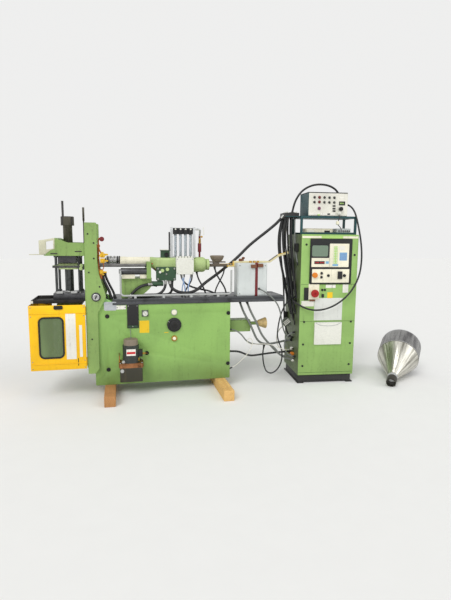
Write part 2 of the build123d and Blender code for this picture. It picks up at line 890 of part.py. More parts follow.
# Drain pipe from the meters down to the drive housing, with a red sleeve
pipe_r = 10.0
pipe_x = 1034.0
pipe_top = casting_top + meter_h - 18
pipe_foot = dome_z + dome_r
pipe_fall = 60.0
red_sleeve_rise = 52.0
red_sleeve_len = 86.0
with BuildPart() as drain_pipe:
    with BuildLine() as pipe_path:
        FilletPolyline(
            (base_left + meter_left + meter_w, base_front + meter_y, pipe_top),
            (base_left + pipe_x, base_front + meter_y, pipe_top),
            (base_left + pipe_x, base_front + unit_y, pipe_top - pipe_fall),
            (base_left + pipe_x, base_front + unit_y, pipe_foot), radius=22,
        )
    with BuildSketch(pipe_path.line ^ 0):
        Circle(pipe_r)
    sweep()
    with BuildSketch(level(pipe_foot + red_sleeve_rise)):
        with Locations((pipe_x, unit_y)):
            Circle(pipe_r + 8)
            Circle(pipe_r + shaft_gap, mode=Mode.SUBTRACT)
    extrude(amount=red_sleeve_len)
finish(drain_pipe, "drain_pipe")

# Bent tube along the bed's front edge, on clips
tube_r = 9.0
tube_left = 250.0
tube_right = 1322.0
tube_top = 1200.0
tube_lift = 18.0
tube_clip_w = 22.0
tube_clips = 4
tube_z = bed_top + tube_lift + tube_r
with BuildPart() as bed_tube:
    with BuildLine() as tube_path:
        FilletPolyline(
            (base_left + tube_left, base_front + tube_r, tube_top),
            (base_left + tube_left, base_front + tube_r, tube_z),
            (base_left + tube_right, base_front + tube_r, tube_z),
            (base_left + tube_right, base_front + tube_r, tube_top - 3), radius=34,
        )
    with BuildSketch(tube_path.line ^ 0):
        Circle(tube_r)
    sweep()
    with BuildSketch(level(bed_top)):
        with Locations(((tube_left + tube_right) / 2, tube_r)):
            with GridLocations((tube_right - tube_left) / tube_clips, 1, tube_clips, 1):
                Rectangle(tube_clip_w, 2 * tube_r - 2)
    extrude(amount=tube_lift + tube_r)
finish(bed_tube, "bed_tube")

# Terminal box with its glands and red stay
box_y = 24.0
box_top = bed_top + box_h
box_right = box_x + box_w
with BuildPart() as terminal_box:
    with BuildSketch(level(bed_top)):
        with Locations((box_x + box_w / 2, box_y + box_d / 2)):
            Rectangle(box_w, box_d)
    extrude(amount=box_h)
    fillet(terminal_box.edges().filter_by(Axis.Z), 6)
    with BuildSketch(level(box_top)):
        with Locations(*[(box_x + x, box_y + gland_y) for x in gland_xs]):
            Circle(gland_r)
    extrude(amount=gland_h)
    with BuildSketch(front(box_y)):
        with Locations((box_x + stay_x, (bed_top + box_top + stay_past) / 2)):
            Rectangle(stay_w, box_top + stay_past - bed_top)
    extrude(amount=stay_t)
finish(terminal_box, "terminal_box")

# Cream arm at the unit's right end, with a filter bowl on its foot
arm_z = dome_z + 8
housing_right = casting_right + dome_len
arm_step = 1314.0
arm_foot_t = 30.0
arm_strip_t = 16.0
arm_clip = 66.0
bowl_x = 1215.0
bowl_r = 72.0
with BuildPart() as cable_arm:
    with BuildSketch(front(unit_y + 30)):
        with Locations(((housing_right + arm_step + arm_clip) / 2, arm_z - arm_foot_t / 2)):
            Rectangle(arm_step + arm_clip - housing_right, arm_foot_t)
        with Locations((bowl_x - 10, arm_z + 6)):
            Rectangle(60, 12)
        with Locations((bowl_x + 5, arm_z + 18)):
            Rectangle(160, 12)
    extrude(amount=60)
    with BuildSketch(front(unit_y - 26)):
        with BuildLine():
            Polyline(
                (arm_step, arm_z - arm_foot_t), (arm_step + 74, arm_z - arm_foot_t),
                (arm_step + 74, box_top), (box_right + 60, box_top), (box_right + 151, box_top + 60),
                (box_right + 261, box_top + 92), (box_right + 261, box_top + 114),
                (box_right + 148, box_top + 80), (box_right + 54, box_top + arm_strip_t),
                (arm_step + 60, box_top + arm_strip_t), (arm_step + 60, arm_z - arm_strip_t),
                (arm_step, arm_z - arm_strip_t), close=True,
            )
        make_face()
    extrude(amount=48)
    with BuildSketch(Plane(origin=(base_left + bowl_x, base_front + unit_y, 0), x_dir=(1, 0, 0),
                           z_dir=(0, -1, 0))):
        with BuildLine():
            Polyline((0, arm_z + 24), (bowl_r - 28, arm_z + 24), (bowl_r - 10, arm_z + 48),
                     (bowl_r, arm_z + 72), (bowl_r, arm_z + 80), (bowl_r - 8, arm_z + 84),
                     (0, arm_z + 84), close=True)
        make_face()
    revolve(axis=Axis((base_left + bowl_x, base_front + unit_y, 0), (0, 0, 1)))
finish(cable_arm, "cable_arm")

# Pieces on the base's front: gauges, knobs and cover flap
gauge_place = (472, base_top - 87)
gauge_side = 62.0
gauge_plate_t = 5.0
gauge_r = 25.0
gauge_t = 24.0
knob_x = 750.0
knob_place = (knob_x, base_top - 207)
knob_plate_r = 69.0
knob_plate_t = 18.0
knob_r = 46.0
knob_t = 22.0
small_knobs = ((knob_x, base_top - 84), (knob_x, base_top - 342))
small_knob_r = 29.0
small_knob_t = 14.0
flap_x = 357.0
flap_w = 108.0
flap_h = 226.0
flap_t = 7.0
with BuildPart() as front_fittings:
    with BuildSketch(front(0)):
        with Locations(gauge_place):
            Rectangle(gauge_side, gauge_side)
    extrude(amount=gauge_plate_t)
    with BuildSketch(front(-gauge_plate_t)):
        with Locations(gauge_place):
            Circle(gauge_r)
    extrude(amount=gauge_t)
    with BuildSketch(front(0)):
        with Locations(knob_place):
            Circle(knob_plate_r)
    extrude(amount=knob_plate_t)
    with BuildSketch(front(-knob_plate_t)):
        with Locations(knob_place):
            Circle(knob_r)
    extrude(amount=knob_t)
    with BuildSketch(front(0)):
        with Locations(*small_knobs):
            Circle(small_knob_r)
    extrude(amount=small_knob_t)
    with BuildSketch(front(0)):
        with Locations((flap_x, base_top - flap_h / 2 - 1)):
            Rectangle(flap_w, flap_h)
    extrude(amount=flap_t)
finish(front_fittings, "front_fittings")

# Lubrication pump on the base's front
pump_x = 331.0
pump_y = -82.0
tank_bottom = timber_side + 68
tank_w = 208.0
tank_h = 133.0
pump_flange_w = 228.0
pump_flange_t = 41.0
motor_r = 76.0
motor_h = 165.0
fan_r = 67.0
fan_h = 56.0
switch_w = 58.0
switch_h = 62.0
flange_bottom = tank_bottom + tank_h
motor_bottom = flange_bottom + pump_flange_t
fan_bottom = motor_bottom + motor_h
with BuildPart() as lubrication_pump:
    with BuildSketch(level(tank_bottom)):
        with Locations((pump_x, pump_y)):
            RectangleRounded(tank_w, -2 * pump_y, 14)
    extrude(amount=tank_h)
    with BuildSketch(level(flange_bottom)):
        with Locations((pump_x, pump_y)):
            RectangleRounded(pump_flange_w, -2 * pump_y - 4, 30)
    extrude(amount=pump_flange_t)
    with BuildSketch(level(motor_bottom)):
        with Locations((pump_x, pump_y)):
            Circle(motor_r)
    extrude(amount=motor_h)
    with BuildSketch(level(fan_bottom)):
        with Locations((pump_x, pump_y)):
            Circle(fan_r)
    extrude(amount=fan_h)
    fillet(lubrication_pump.edges().filter_by(GeomType.CIRCLE).group_by(Axis.Z)[-1], 12)
    with BuildSketch(across(pump_x + motor_r - 6)):
        with Locations((pump_y, motor_bottom + motor_h / 2)):
            Rectangle(switch_w, switch_h)
    extrude(amount=38)
finish(lubrication_pump, "lubrication_pump")

# Hydraulic block and breather on the base's right end
block_z = timber_side + 506
block_w = 246.0
block_d = 150.0
block_tall = 122.0
breather_z = block_z + 12
breather_r = 58.0
breather_len = 188.0
block_right = base_w + block_w
breather_right = block_right + breather_len
with BuildPart() as hydraulic_block:
    with BuildSketch(across(base_w)):
        with Locations((unit_y, block_z)):
            RectangleRounded(block_d, block_tall, 8)
    extrude(amount=block_w)
    with BuildSketch(Plane(origin=(base_left, base_front + unit_y, breather_z), x_dir=(1, 0, 0),
                           z_dir=(0, -1, 0))):
        with BuildLine():
            Polyline((block_right, 0), (block_right, breather_r - 40),
                     (block_right + 86, breather_r - 40), (block_right + 102, breather_r - 28),
                     (breather_right - 8, breather_r), (breather_right, breather_r),
                     (breather_right, 0), close=True)
        make_face()
    revolve(axis=Axis((base_left, base_front + unit_y, breather_z), (1, 0, 0)))
finish(hydraulic_block, "hydraulic_block")

# Pipe, valve and fittings behind the cheeks
with BuildPart() as coolant_pipe:
    with BuildSketch(level(pivot_z + coolant_foot)):
        with Locations((cheek_right + coolant_r, cheek_t / 2)):
            Circle(coolant_r)
    extrude(amount=coolant_len)
    with BuildSketch(level(pivot_z + coolant_foot - elbow_h)):
        with Locations((cheek_right + elbow_w / 2, cheek_t / 2)):
            Rectangle(elbow_w, cheek_t - 2)
    extrude(amount=elbow_h)
    with BuildSketch(front(0)):
        with Locations((cheek_right + tap_r - 6, pivot_z + coolant_foot + coolant_len)):
            Circle(tap_r)
    extrude(amount=-(cheek_t - 2))
finish(coolant_pipe, "coolant_pipe")


# Control cabinet on a black plinth with two light skids
with BuildPart() as cabinet_plinth:
    with BuildSketch(cabinet_level(skid_h)):
        with Locations((cabinet_w / 2, cabinet_d / 2)):
            Rectangle(cabinet_w - 2 * plinth_inset, cabinet_d - 2 * plinth_inset)
    extrude(amount=plinth_h)
    with BuildSketch(cabinet_level(0)):
        with Locations((skid_w / 2, cabinet_d / 2), (cabinet_w - skid_w / 2, cabinet_d / 2)):
            Rectangle(skid_w, cabinet_d - 8)
    extrude(amount=skid_h)
finish(cabinet_plinth, "cabinet_plinth")

with BuildPart() as cabinet_body:
    with BuildSketch(cabinet_level(plinth_top)):
        with Locations((cabinet_w / 2, cabinet_d / 2)):
            RectangleRounded(cabinet_w, cabinet_d, 6)
    extrude(amount=cabinet_h)
finish(cabinet_body, "cabinet_body")

# Control panel: black bezel, screen, keyboard and switch panel
bezel_x = 90.0
bezel_w = 444.0
bezel_h = 461.0
bezel_t = 14.0
panel_t = 5.0
panel_face = -bezel_t - panel_t
bezel_bottom = cabinet_top - 504
screen_w = 176.0
screen_h = 124.0
keyboard_w = 206.0
keyboard_h = 238.0
switches_w = 394.0
switches_h = 138.0
dial_r = 27.0
button_r = 14.0
with BuildPart() as control_panel:
    with BuildSketch(cabinet_front(0)):
        with Locations((bezel_x + bezel_w / 2, bezel_bottom + bezel_h / 2)):
            RectangleRounded(bezel_w, bezel_h, 10)
    extrude(amount=bezel_t)
    chamfer(control_panel.faces().sort_by(Axis.Y)[0].edges(), 3)
    with BuildSketch(cabinet_front(-bezel_t)):
        with Locations((bezel_x + 109, bezel_bottom + 337)):
            RectangleRounded(screen_w, screen_h, 16)
    extrude(amount=4)
    with BuildSketch(cabinet_front(-bezel_t)):
        with Locations((bezel_x + 305, bezel_bottom + 293)):
            RectangleRounded(keyboard_w, keyboard_h, 5)
    extrude(amount=panel_t)
    with BuildSketch(cabinet_front(-bezel_t)):
        with Locations((bezel_x + bezel_w / 2, bezel_bottom + 84)):
            RectangleRounded(switches_w, switches_h, 5)
    extrude(amount=panel_t)
    with BuildSketch(cabinet_front(panel_face)):
        with Locations((bezel_x + 52, bezel_bottom + 92)):
            Circle(dial_r)
    extrude(amount=20)
    with BuildSketch(cabinet_front(panel_face)):
        with Locations((bezel_x + 122, bezel_bottom + 112), (bezel_x + 122, bezel_bottom + 72),
                       (bezel_x + 196, bezel_bottom + 88)):
            Circle(button_r)
    extrude(amount=9)
    with BuildSketch(cabinet_front(panel_face)):
        with Locations((bezel_x + 318, bezel_bottom + 92)):
            Rectangle(46, 76)
        with Locations((bezel_x + 366, bezel_bottom + 88)):
            Circle(button_r + 1)
    extrude(amount=14)
finish(control_panel, "control_panel")

# Emergency stop on its plate, and the document pocket
stop_x = 145.0
stop_z = cabinet_top - 598
stop_plate_w = 100.0
stop_plate_h = 132.0
stop_plate_t = 5.0
stop_neck_r = 24.0
stop_neck_len = 26.0
stop_r = 40.0
stop_t = 18.0
pocket_w = 292.0
pocket_h = 236.0
pocket_t = 18.0
with BuildPart() as door_fittings:
    with BuildSketch(cabinet_front(0)):
        with Locations((stop_x, stop_z + 16)):
            RectangleRounded(stop_plate_w, stop_plate_h, 8)
    extrude(amount=stop_plate_t)
    with BuildSketch(cabinet_front(-stop_plate_t)):
        with Locations((stop_x, stop_z)):
            Circle(stop_neck_r)
    extrude(amount=stop_neck_len)
    with BuildSketch(cabinet_front(-stop_plate_t - stop_neck_len)):
        with Locations((stop_x, stop_z)):
            Circle(stop_r)
    extrude(amount=stop_t)
    with BuildSketch(cabinet_front(0)):
        with Locations((cabinet_w / 2 + 6, cabinet_top - 1020)):
            RectangleRounded(pocket_w, pocket_h, 8)
    extrude(amount=pocket_t)
finish(door_fittings, "door_fittings")

# Rack on the cabinet with the temperature controller
rack_h = 186.0
rack_bar = 22.0
rack_top = cabinet_top + rack_h
rack_d = 330.0
rack_y = 60.0
hanger_reach = 134.0
hanger_w = 250.0
hanger_t = 8.0
hanger_y = 265.0
saddle_w = 148.0
saddle_h = 34.0
with BuildPart() as rack_frame:
    with BuildSketch(cabinet_front(rack_y + rack_d)):
        with Locations((cabinet_w / 2, cabinet_top + rack_h / 2)):
            Rectangle(cabinet_w - 8, rack_h)
            Rectangle(cabinet_w - 8 - 2 * rack_bar, rack_h - 2 * rack_bar, mode=Mode.SUBTRACT)
    extrude(amount=rack_d)
    with BuildSketch(cabinet_across(0)):
        with Locations((rack_y + rack_d / 2, cabinet_top + rack_h / 2)):
            Rectangle(rack_d - 2 * rack_bar, rack_h - 2 * rack_bar)
    extrude(amount=cabinet_w, mode=Mode.SUBTRACT)
    with BuildSketch(cabinet_level(cabinet_top)):
        with Locations((cabinet_w / 2, rack_y + rack_d / 2)):
            Rectangle(cabinet_w, rack_d - 2 * rack_bar)
    extrude(amount=rack_bar, mode=Mode.SUBTRACT)
    with BuildSketch(cabinet_level(rack_top - hanger_t)):
        with Locations(((rack_bar - hanger_reach) / 2, hanger_y)):
            Rectangle(hanger_reach + rack_bar, hanger_w)
    extrude(amount=hanger_t)
    with BuildSketch(cabinet_level(rack_top)):
        with Locations((saddle_w / 2 - hanger_reach, hanger_y)):
            RectangleRounded(saddle_w, hanger_w - 20, 12)
    extrude(amount=saddle_h)
finish(rack_frame, "rack_frame")

controller_x = 81.0
controller_w = 418.0
controller_h = 241.0
controller_d = 280.0
controller_y = rack_y + 20
face_t = 6.0
face_margin = 6.0
dial_step = 50.0
dial_row = 52.0
small_dial_r = 12.0
small_dial_t = 14.0
with BuildPart() as controller:
    with BuildSketch(cabinet_level(rack_top)):
        with Locations((controller_x + controller_w / 2, controller_y + controller_d / 2)):
            Rectangle(controller_w, controller_d)
    extrude(amount=controller_h)
    with BuildSketch(cabinet_front(controller_y)):
        with Locations((controller_x + (controller_w + face_margin) / 2, rack_top + controller_h / 2)):
            Rectangle(controller_w - face_margin, controller_h - face_t)
    extrude(amount=face_t)
    with BuildSketch(cabinet_front(controller_y - face_t)):
        with Locations((controller_x + 138, rack_top + 174)):
            with GridLocations(dial_step, dial_row, 5, 2):
                Circle(small_dial_r)
    extrude(amount=small_dial_t)
finish(controller, "controller")

# Two small boxes inside the rack, by middle, width and height
small_boxes = ((226, 292, 62), (492, 150, 64))
small_box_y = rack_y + rack_d / 2
small_box_d = 190.0
with BuildPart() as top_boxes:
    for middle, width, height in small_boxes:
        with BuildSketch(cabinet_level(cabinet_top)):
            with Locations((middle, small_box_y)):
                Rectangle(width, small_box_d)
        extrude(amount=height)
finish(top_boxes, "top_boxes")

# Hopper lying on its cone: the tilt follows from its radii and lengths
hopper_tilt = degrees(atan2(hopper_r - spout_r, spout_len + cone_len))
heading = Vector(cos(radians(hopper_heading)), sin(radians(hopper_heading)), 0)
hopper_axis = heading * cos(radians(hopper_tilt)) + Vector(0, 0, sin(radians(hopper_tilt)))
hopper_start = Vector(base_left + hopper_x, base_front + hopper_y, spout_r * cos(radians(hopper_tilt)))
hopper_side = hopper_axis.cross(Vector(0, 0, 1)).normalized()
hopper_plane = Plane(origin=hopper_start, x_dir=hopper_axis, z_dir=hopper_side)
hopper_len = spout_len + cone_len + band_len
with BuildPart() as hopper:
    with BuildSketch(hopper_plane):
        with BuildLine():
            Polyline(
                (spout_len + cone_len, hopper_r), (hopper_len, hopper_r),
                (hopper_len, hopper_r - hopper_wall),
                (spout_len + cone_len, hopper_r - hopper_wall), close=True,
            )
        make_face()
    revolve(axis=Axis(hopper_start, hopper_axis))
finish(hopper, "hopper")

with BuildPart() as hopper_cone:
    with BuildSketch(hopper_plane):
        with BuildLine():
            Polyline(
                (spout_len, spout_r), (spout_len + cone_len, hopper_r),
                (spout_len + cone_len, hopper_r - hopper_wall),
                (spout_len, spout_r - hopper_wall), close=True,
            )
        make_face()
    revolve(axis=Axis(hopper_start, hopper_axis))
finish(hopper_cone, "hopper_cone")

with BuildPart() as hopper_spout:
    with BuildSketch(hopper_plane):
        with BuildLine():
            Polyline(
                (0, spout_r), (spout_len, spout_r), (spout_len, spout_r - hopper_wall),
                (collar_len, spout_r - hopper_wall), (collar_len, spout_r - collar_wall),
                (0, spout_r - collar_wall), close=True,
            )
        make_face()
    revolve(axis=Axis(hopper_start, hopper_axis))
finish(hopper_spout, "hopper_spout")

# Cables strapped down the cabinet's left side, from the rack's hanger into the side, as x, y, z
# from the cabinet's own left front corner
loom_routes = [
    (13, [(-118, 322, 1738), (-146, 318, 1630), (-160, 316, 1500), (-150, 318, 1360),
          (-118, 320, 1210), (-84, 319, 1070), (-60, 316, 945), (-36, 312, 830), (5, 310, 750)]),
    (10, [(-120, 270, 1738), (-130, 268, 1600), (-122, 270, 1430), (-94, 273, 1250),
          (-62, 275, 1070), (-40, 270, 910), (-24, 262, 780), (5, 260, 700)]),
    (13, [(-118, 196, 1738), (-135, 207, 1580), (-127, 224, 1410), (-96, 227, 1230),
          (-66, 223, 1050), (-46, 215, 890), (-30, 205, 740), (5, 200, 650)]),
    (9, [(-82, 235, 1738), (-86, 231, 1590), (-78, 226, 1430), (-56, 222, 1250),
         (-36, 214, 1090), (-24, 196, 940), (-18, 176, 810), (5, 170, 740)]),
    (11, [(-62, 170, 1738), (-67, 160, 1590), (-60, 150, 1430), (-42, 140, 1250),
          (-27, 130, 1090), (-18, 120, 960), (5, 114, 890)]),
    (9, [(-40, 290, 1738), (-43, 286, 1610), (-36, 281, 1460), (-26, 276, 1310),
         (-18, 270, 1180), (5, 268, 1110)]),
]

# Hoses and cables that hang or lie free, each by its radius and its route in the frame; two of a
# pair share a node
cord_routes = {
    "long_hose": (15, [(-790, 25, 1100), (-786, 20, 1048), (-756, 8, 1004), (-700, -3, 978),
                       (-630, -6, 969), (-562, -2, 979), (-500, 16, 1011), (-436, 62, 1058),
                       (-358, 112, 1102), (-274, 160, 1150), (-186, 196, 1211), (-103, 209, 1272),
                       (-26, 213, 1342), (56, 211, 1426), (144, 205, 1499), (235, 194, 1570),
                       (337, 178, 1654), (385, 167, 1706), (427, 160, 1750)]),
    "rack_cable": (11, [(562, 284, 1770), (578, 292, 1850), (616, 299, 1945), (682, 302, 2030),
                        (779, 300, 2084), (884, 297, 2102), (990, 293, 2090), (1070, 290, 2050),
                        (1116, 296, 1990), (1126, 308, 1916), (1098, 320, 1850), (1048, 322, 1808),
                        (1000, 304, 1790), (972, 266, 1786), (962, 221, 1786)]),
    "door_cable": (9, [(1006, 0, 1868), (1050, -13, 1867), (1086, -46, 1842), (1108, -84, 1786),
                       (1122, -110, 1706), (1134, -130, 1622), (1146, -150, 1530),
                       (1154, -167, 1430), (1156, -178, 1330), (1150, -184, 1235),
                       (1134, -188, 1150), (1103, -191, 1070), (1056, -192, 992),
                       (996, -190, 922), (926, -186, 866), (846, -182, 822), (762, -176, 795),
                       (678, -168, 786), (606, -156, 796), (548, -136, 818), (512, -104, 842),
                       (495, -70, 855), (492, -34, 864), (501, -4, 868), (522, 18, 868),
                       (556, 30, 866)]),
    "blue_hoses": (6, [(-672, 22, 1158), (-664, 23, 1105), (-644, 24, 1052), (-636, 26, 1000),
                       (-637, 27, 928)],
                   [(-578, 22, 1158), (-586, 23, 1105), (-602, 24, 1054), (-608, 26, 1000),
                    (-605, 27, 928)]),
    "bed_arch": (14, [(-955, 18, 1060), (-1006, 15, 1058), (-1057, 11, 1046), (-1104, 10, 1020),
                      (-1146, 11, 980), (-1184, 12, 927)]),
    "bed_hose": (13, [(-828, 12, 1100), (-830, 6, 1052), (-848, -4, 1004), (-892, -12, 966),
                      (-958, -15, 951), (-1020, -14, 949), (-1080, -17, 949), (-1140, -18, 947),
                      (-1192, -18, 928)]),
    "clamp_hose": (15, [(-1448, -40, 1128), (-1446, -38, 1085), (-1436, -28, 1040), (-1421, -12, 998),
                        (-1402, 3, 957), (-1385, 13, 916), (-1374, 17, 870)]),
    "thick_cables": (11, [(-76, 46, 882), (-50, 46, 800), (-8, 46, 716), (46, 46, 622),
                          (86, 47, 530), (124, 54, 455), (180, 72, 410), (255, 96, 394),
                          (340, 120, 396), (430, 143, 405), (500, 156, 412), (562, 163, 414)],
                     [(-12, 3, 882), (16, 3, 806), (56, 3, 725), (100, 3, 650), (132, 6, 570),
                      (172, 14, 500), (226, 25, 438), (284, 37, 376), (344, 46, 314),
                      (408, 50, 264), (478, 52, 232), (552, 53, 219)]),
    "cross_cable": (7, [(-198, 20, 588), (-150, 6, 585), (-98, -16, 563), (-58, -31, 524),
                        (-28, -38, 480), (14, -40, 448), (74, -40, 432), (146, -38, 428),
                        (216, -37, 424), (268, -36, 402), (308, -32, 362), (342, -21, 316),
                        (386, 0, 286), (440, 32, 275), (498, 62, 276), (552, 78, 279)]),
    "white_cable": (3.5, [(552, 102, 330), (492, 62, 334), (432, 4, 346), (374, -46, 366),
                          (318, -62, 392), (264, -62, 418), (206, -63, 432), (146, -62, 437),
                          (84, -62, 436), (32, -61, 438), (0, -59, 446), (-18, -57, 470),
                          (-6, -56, 497), (24, -56, 500), (44, -57, 475), (38, -58, 430),
                          (20, -56, 384), (-8, -52, 338), (-56, -52, 288), (-114, -53, 236),
                          (-162, -49, 205), (-198, -44, 190)]),
    "drop_loop": (7, [(552, 60, 900), (504, 50, 894), (456, 28, 874), (412, 6, 832), (378, 0, 774),
                      (356, 2, 708), (342, 3, 640), (332, 2, 572), (326, -2, 504), (342, -10, 436),
                      (368, -22, 372), (377, -30, 298), (366, -32, 220), (328, -32, 148),
                      (266, -31, 106), (206, -30, 128), (180, -29, 190), (168, -28, 254),
                      (162, -28, 316), (168, -29, 372), (174, -34, 422)]),
    "grey_cable": (7, [(106, -26, 1004), (108, -56, 1003), (122, -80, 996), (150, -94, 980),
                       (194, -98, 948), (244, -90, 904), (290, -74, 854), (324, -52, 798),
                       (350, -28, 732), (370, -2, 662), (392, 22, 594), (420, 46, 530),
                       (456, 70, 482), (502, 96, 456), (553, 118, 450)]),
}


def bend_radii(route):
    """Radius of each bend, from the shorter of its two runs and its turn."""
    radii = []
    for before, here, after in zip(route, route[1:], route[2:]):
        turn = radians((here - before).get_angle(after - here))
        radii.append(0.45 * min((here - before).length, (after - here).length) / tan(turn / 2))
    return radii


with BuildPart() as side_loom:
    for radius, places in loom_routes:
        route = [cabinet_corner.from_local_coords(Vector(*place)) for place in places]
        with BuildLine() as loom_path:
            FilletPolyline(*route, radius=bend_radii(route))
        with BuildSketch(loom_path.line ^ 0):
            Circle(radius)
        sweep()
finish(side_loom, "side_loom")

for name, (radius, *routes) in cord_routes.items():
    lengths = []
    with BuildPart() as cord:
        for places in routes:
            route = [Vector(*place) for place in places]
            with BuildLine() as cord_path:
                FilletPolyline(*route, radius=bend_radii(route))
            with BuildSketch(cord_path.line ^ 0):
                Circle(radius)
            sweep()
            lengths.append(cord_path.wires()[0].length)
    finish(cord, name)
    drift = cord.part.volume / (pi * radius**2 * sum(lengths)) - 1
    print(name, "lengths", [round(length) for length in lengths], "volume off by", round(drift, 4))

for piece in pieces:
    export_step(piece.part, f"parts/{piece.part.label}.step")
print(len(pieces), "pieces")
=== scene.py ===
"""Injection moulding machine: its finishes, fittings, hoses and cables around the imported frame."""

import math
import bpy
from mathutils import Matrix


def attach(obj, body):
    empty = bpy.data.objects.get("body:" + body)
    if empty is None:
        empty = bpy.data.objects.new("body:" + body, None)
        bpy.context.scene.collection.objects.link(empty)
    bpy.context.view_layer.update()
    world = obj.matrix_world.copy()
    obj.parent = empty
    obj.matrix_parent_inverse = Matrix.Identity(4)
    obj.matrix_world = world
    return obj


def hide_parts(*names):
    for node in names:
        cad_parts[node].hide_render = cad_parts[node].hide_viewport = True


bl_info = {
    "name": "Injection moulding machine",
    "version": (1, 0, 0),
    "blender": (4, 5, 0),
    "location": "3D View > Sidebar > Machine",
    "description": "Finishes, fittings, hoses and cables of an injection moulding machine",
    "category": "Object",
}

import bpy
from bpy.props import FloatProperty, FloatVectorProperty, PointerProperty
from mathutils import Matrix, Vector

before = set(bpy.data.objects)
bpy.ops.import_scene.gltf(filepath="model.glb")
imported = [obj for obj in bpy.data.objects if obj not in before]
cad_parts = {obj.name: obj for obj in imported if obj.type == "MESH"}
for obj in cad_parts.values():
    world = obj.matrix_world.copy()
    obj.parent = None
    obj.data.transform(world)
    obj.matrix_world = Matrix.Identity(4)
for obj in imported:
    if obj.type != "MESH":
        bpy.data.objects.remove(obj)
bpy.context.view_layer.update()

# Places: the machine's own corner and the turned cabinet's own corner, in the frame
MACHINE = Matrix.Translation((-1.5075, -0.0565, 0))
CABINET = Matrix.Translation((0.5295, -0.0905, 0)) @ Matrix.Rotation(math.radians(-5.4), 4, "Z")
HOPPER_TILT = math.radians(18.54)
HOPPER_HEAD = math.radians(49.5)
HOPPER = (Matrix.Translation((1.4335, -0.3965, 0.0474)) @ Matrix.Rotation(HOPPER_HEAD, 4, "Z")
          @ Matrix.Rotation(math.radians(90) - HOPPER_TILT, 4, "Y"))
FACING = {facing: Matrix.Rotation(math.radians(angle), 4, axis) for facing, angle, axis in (
    ("front", 90, "X"), ("up", 0, "X"), ("down", 180, "X"), ("right", 90, "Y"), ("left", -90, "Y"))}

# The camera's place and turns in the frame, and the light
CAMERA_SPOT = (-1.2451, -4.3875, 1.5)
CAMERA_TURNS = ((-13.0, "Z"), (90 - 7.7, "X"), (0.5, "Z"))
SENSOR_WIDTH = 36.0
CAMERA_REACH = 200.0
# Name, direction, spread in degrees and power of each sun
SUNS = (("key_light", (0.55, 0.75, -0.8), 32, 1.55), ("fill_light", (-0.75, 0.6, -0.5), 50, 0.75))
SKY_POWER = 0.62
SEEN_SKY = (0.86, 0.86, 0.855, 1)

# Where the bed's green lugs end and the timbers' fresh wood starts, as x in metres
LUGS_END = -1.338
FRESH_WOOD = -0.8

# Shared by the helpers: distances in metres, an angle in degrees and a number of segments
MERGE_DISTANCE = 0.00002
FLAT_ANGLE = 0.6
SHORTEST_LEAD = 0.25
CORNER_STEPS = 4


def rgb(red, green, blue):
    """A colour of 0 to 255 as Blender's linear one, with full alpha."""
    return tuple(((v / 255 + 0.055) / 1.055) ** 2.4 if v > 10 else v / 3294.6
                 for v in (red, green, blue)) + (1.0,)


def shade(colour, factor):
    """A colour made darker or lighter."""
    return tuple(min(1, c * factor) for c in colour[:3]) + (1,)


# ---- Shader recipes ----
class Link:
    """One socket of a recipe; maths on it adds Math nodes."""

    def __init__(self, recipe, socket):
        self.recipe, self.socket = recipe, socket

    def maths(self, operation, first, second):
        """A Math node of two numbers or links."""
        return self.recipe.node("ShaderNodeMath", {"operation": operation}, {0: first, 1: second})

    def __add__(self, other):
        return self.maths("ADD", self, other)

    def __rsub__(self, other):
        return self.maths("SUBTRACT", other, self)

    def __mul__(self, other):
        return self.maths("MULTIPLY", self, other)

    def __gt__(self, other):
        return self.maths("GREATER_THAN", self, other)

    def __lt__(self, other):
        return self.maths("LESS_THAN", self, other)


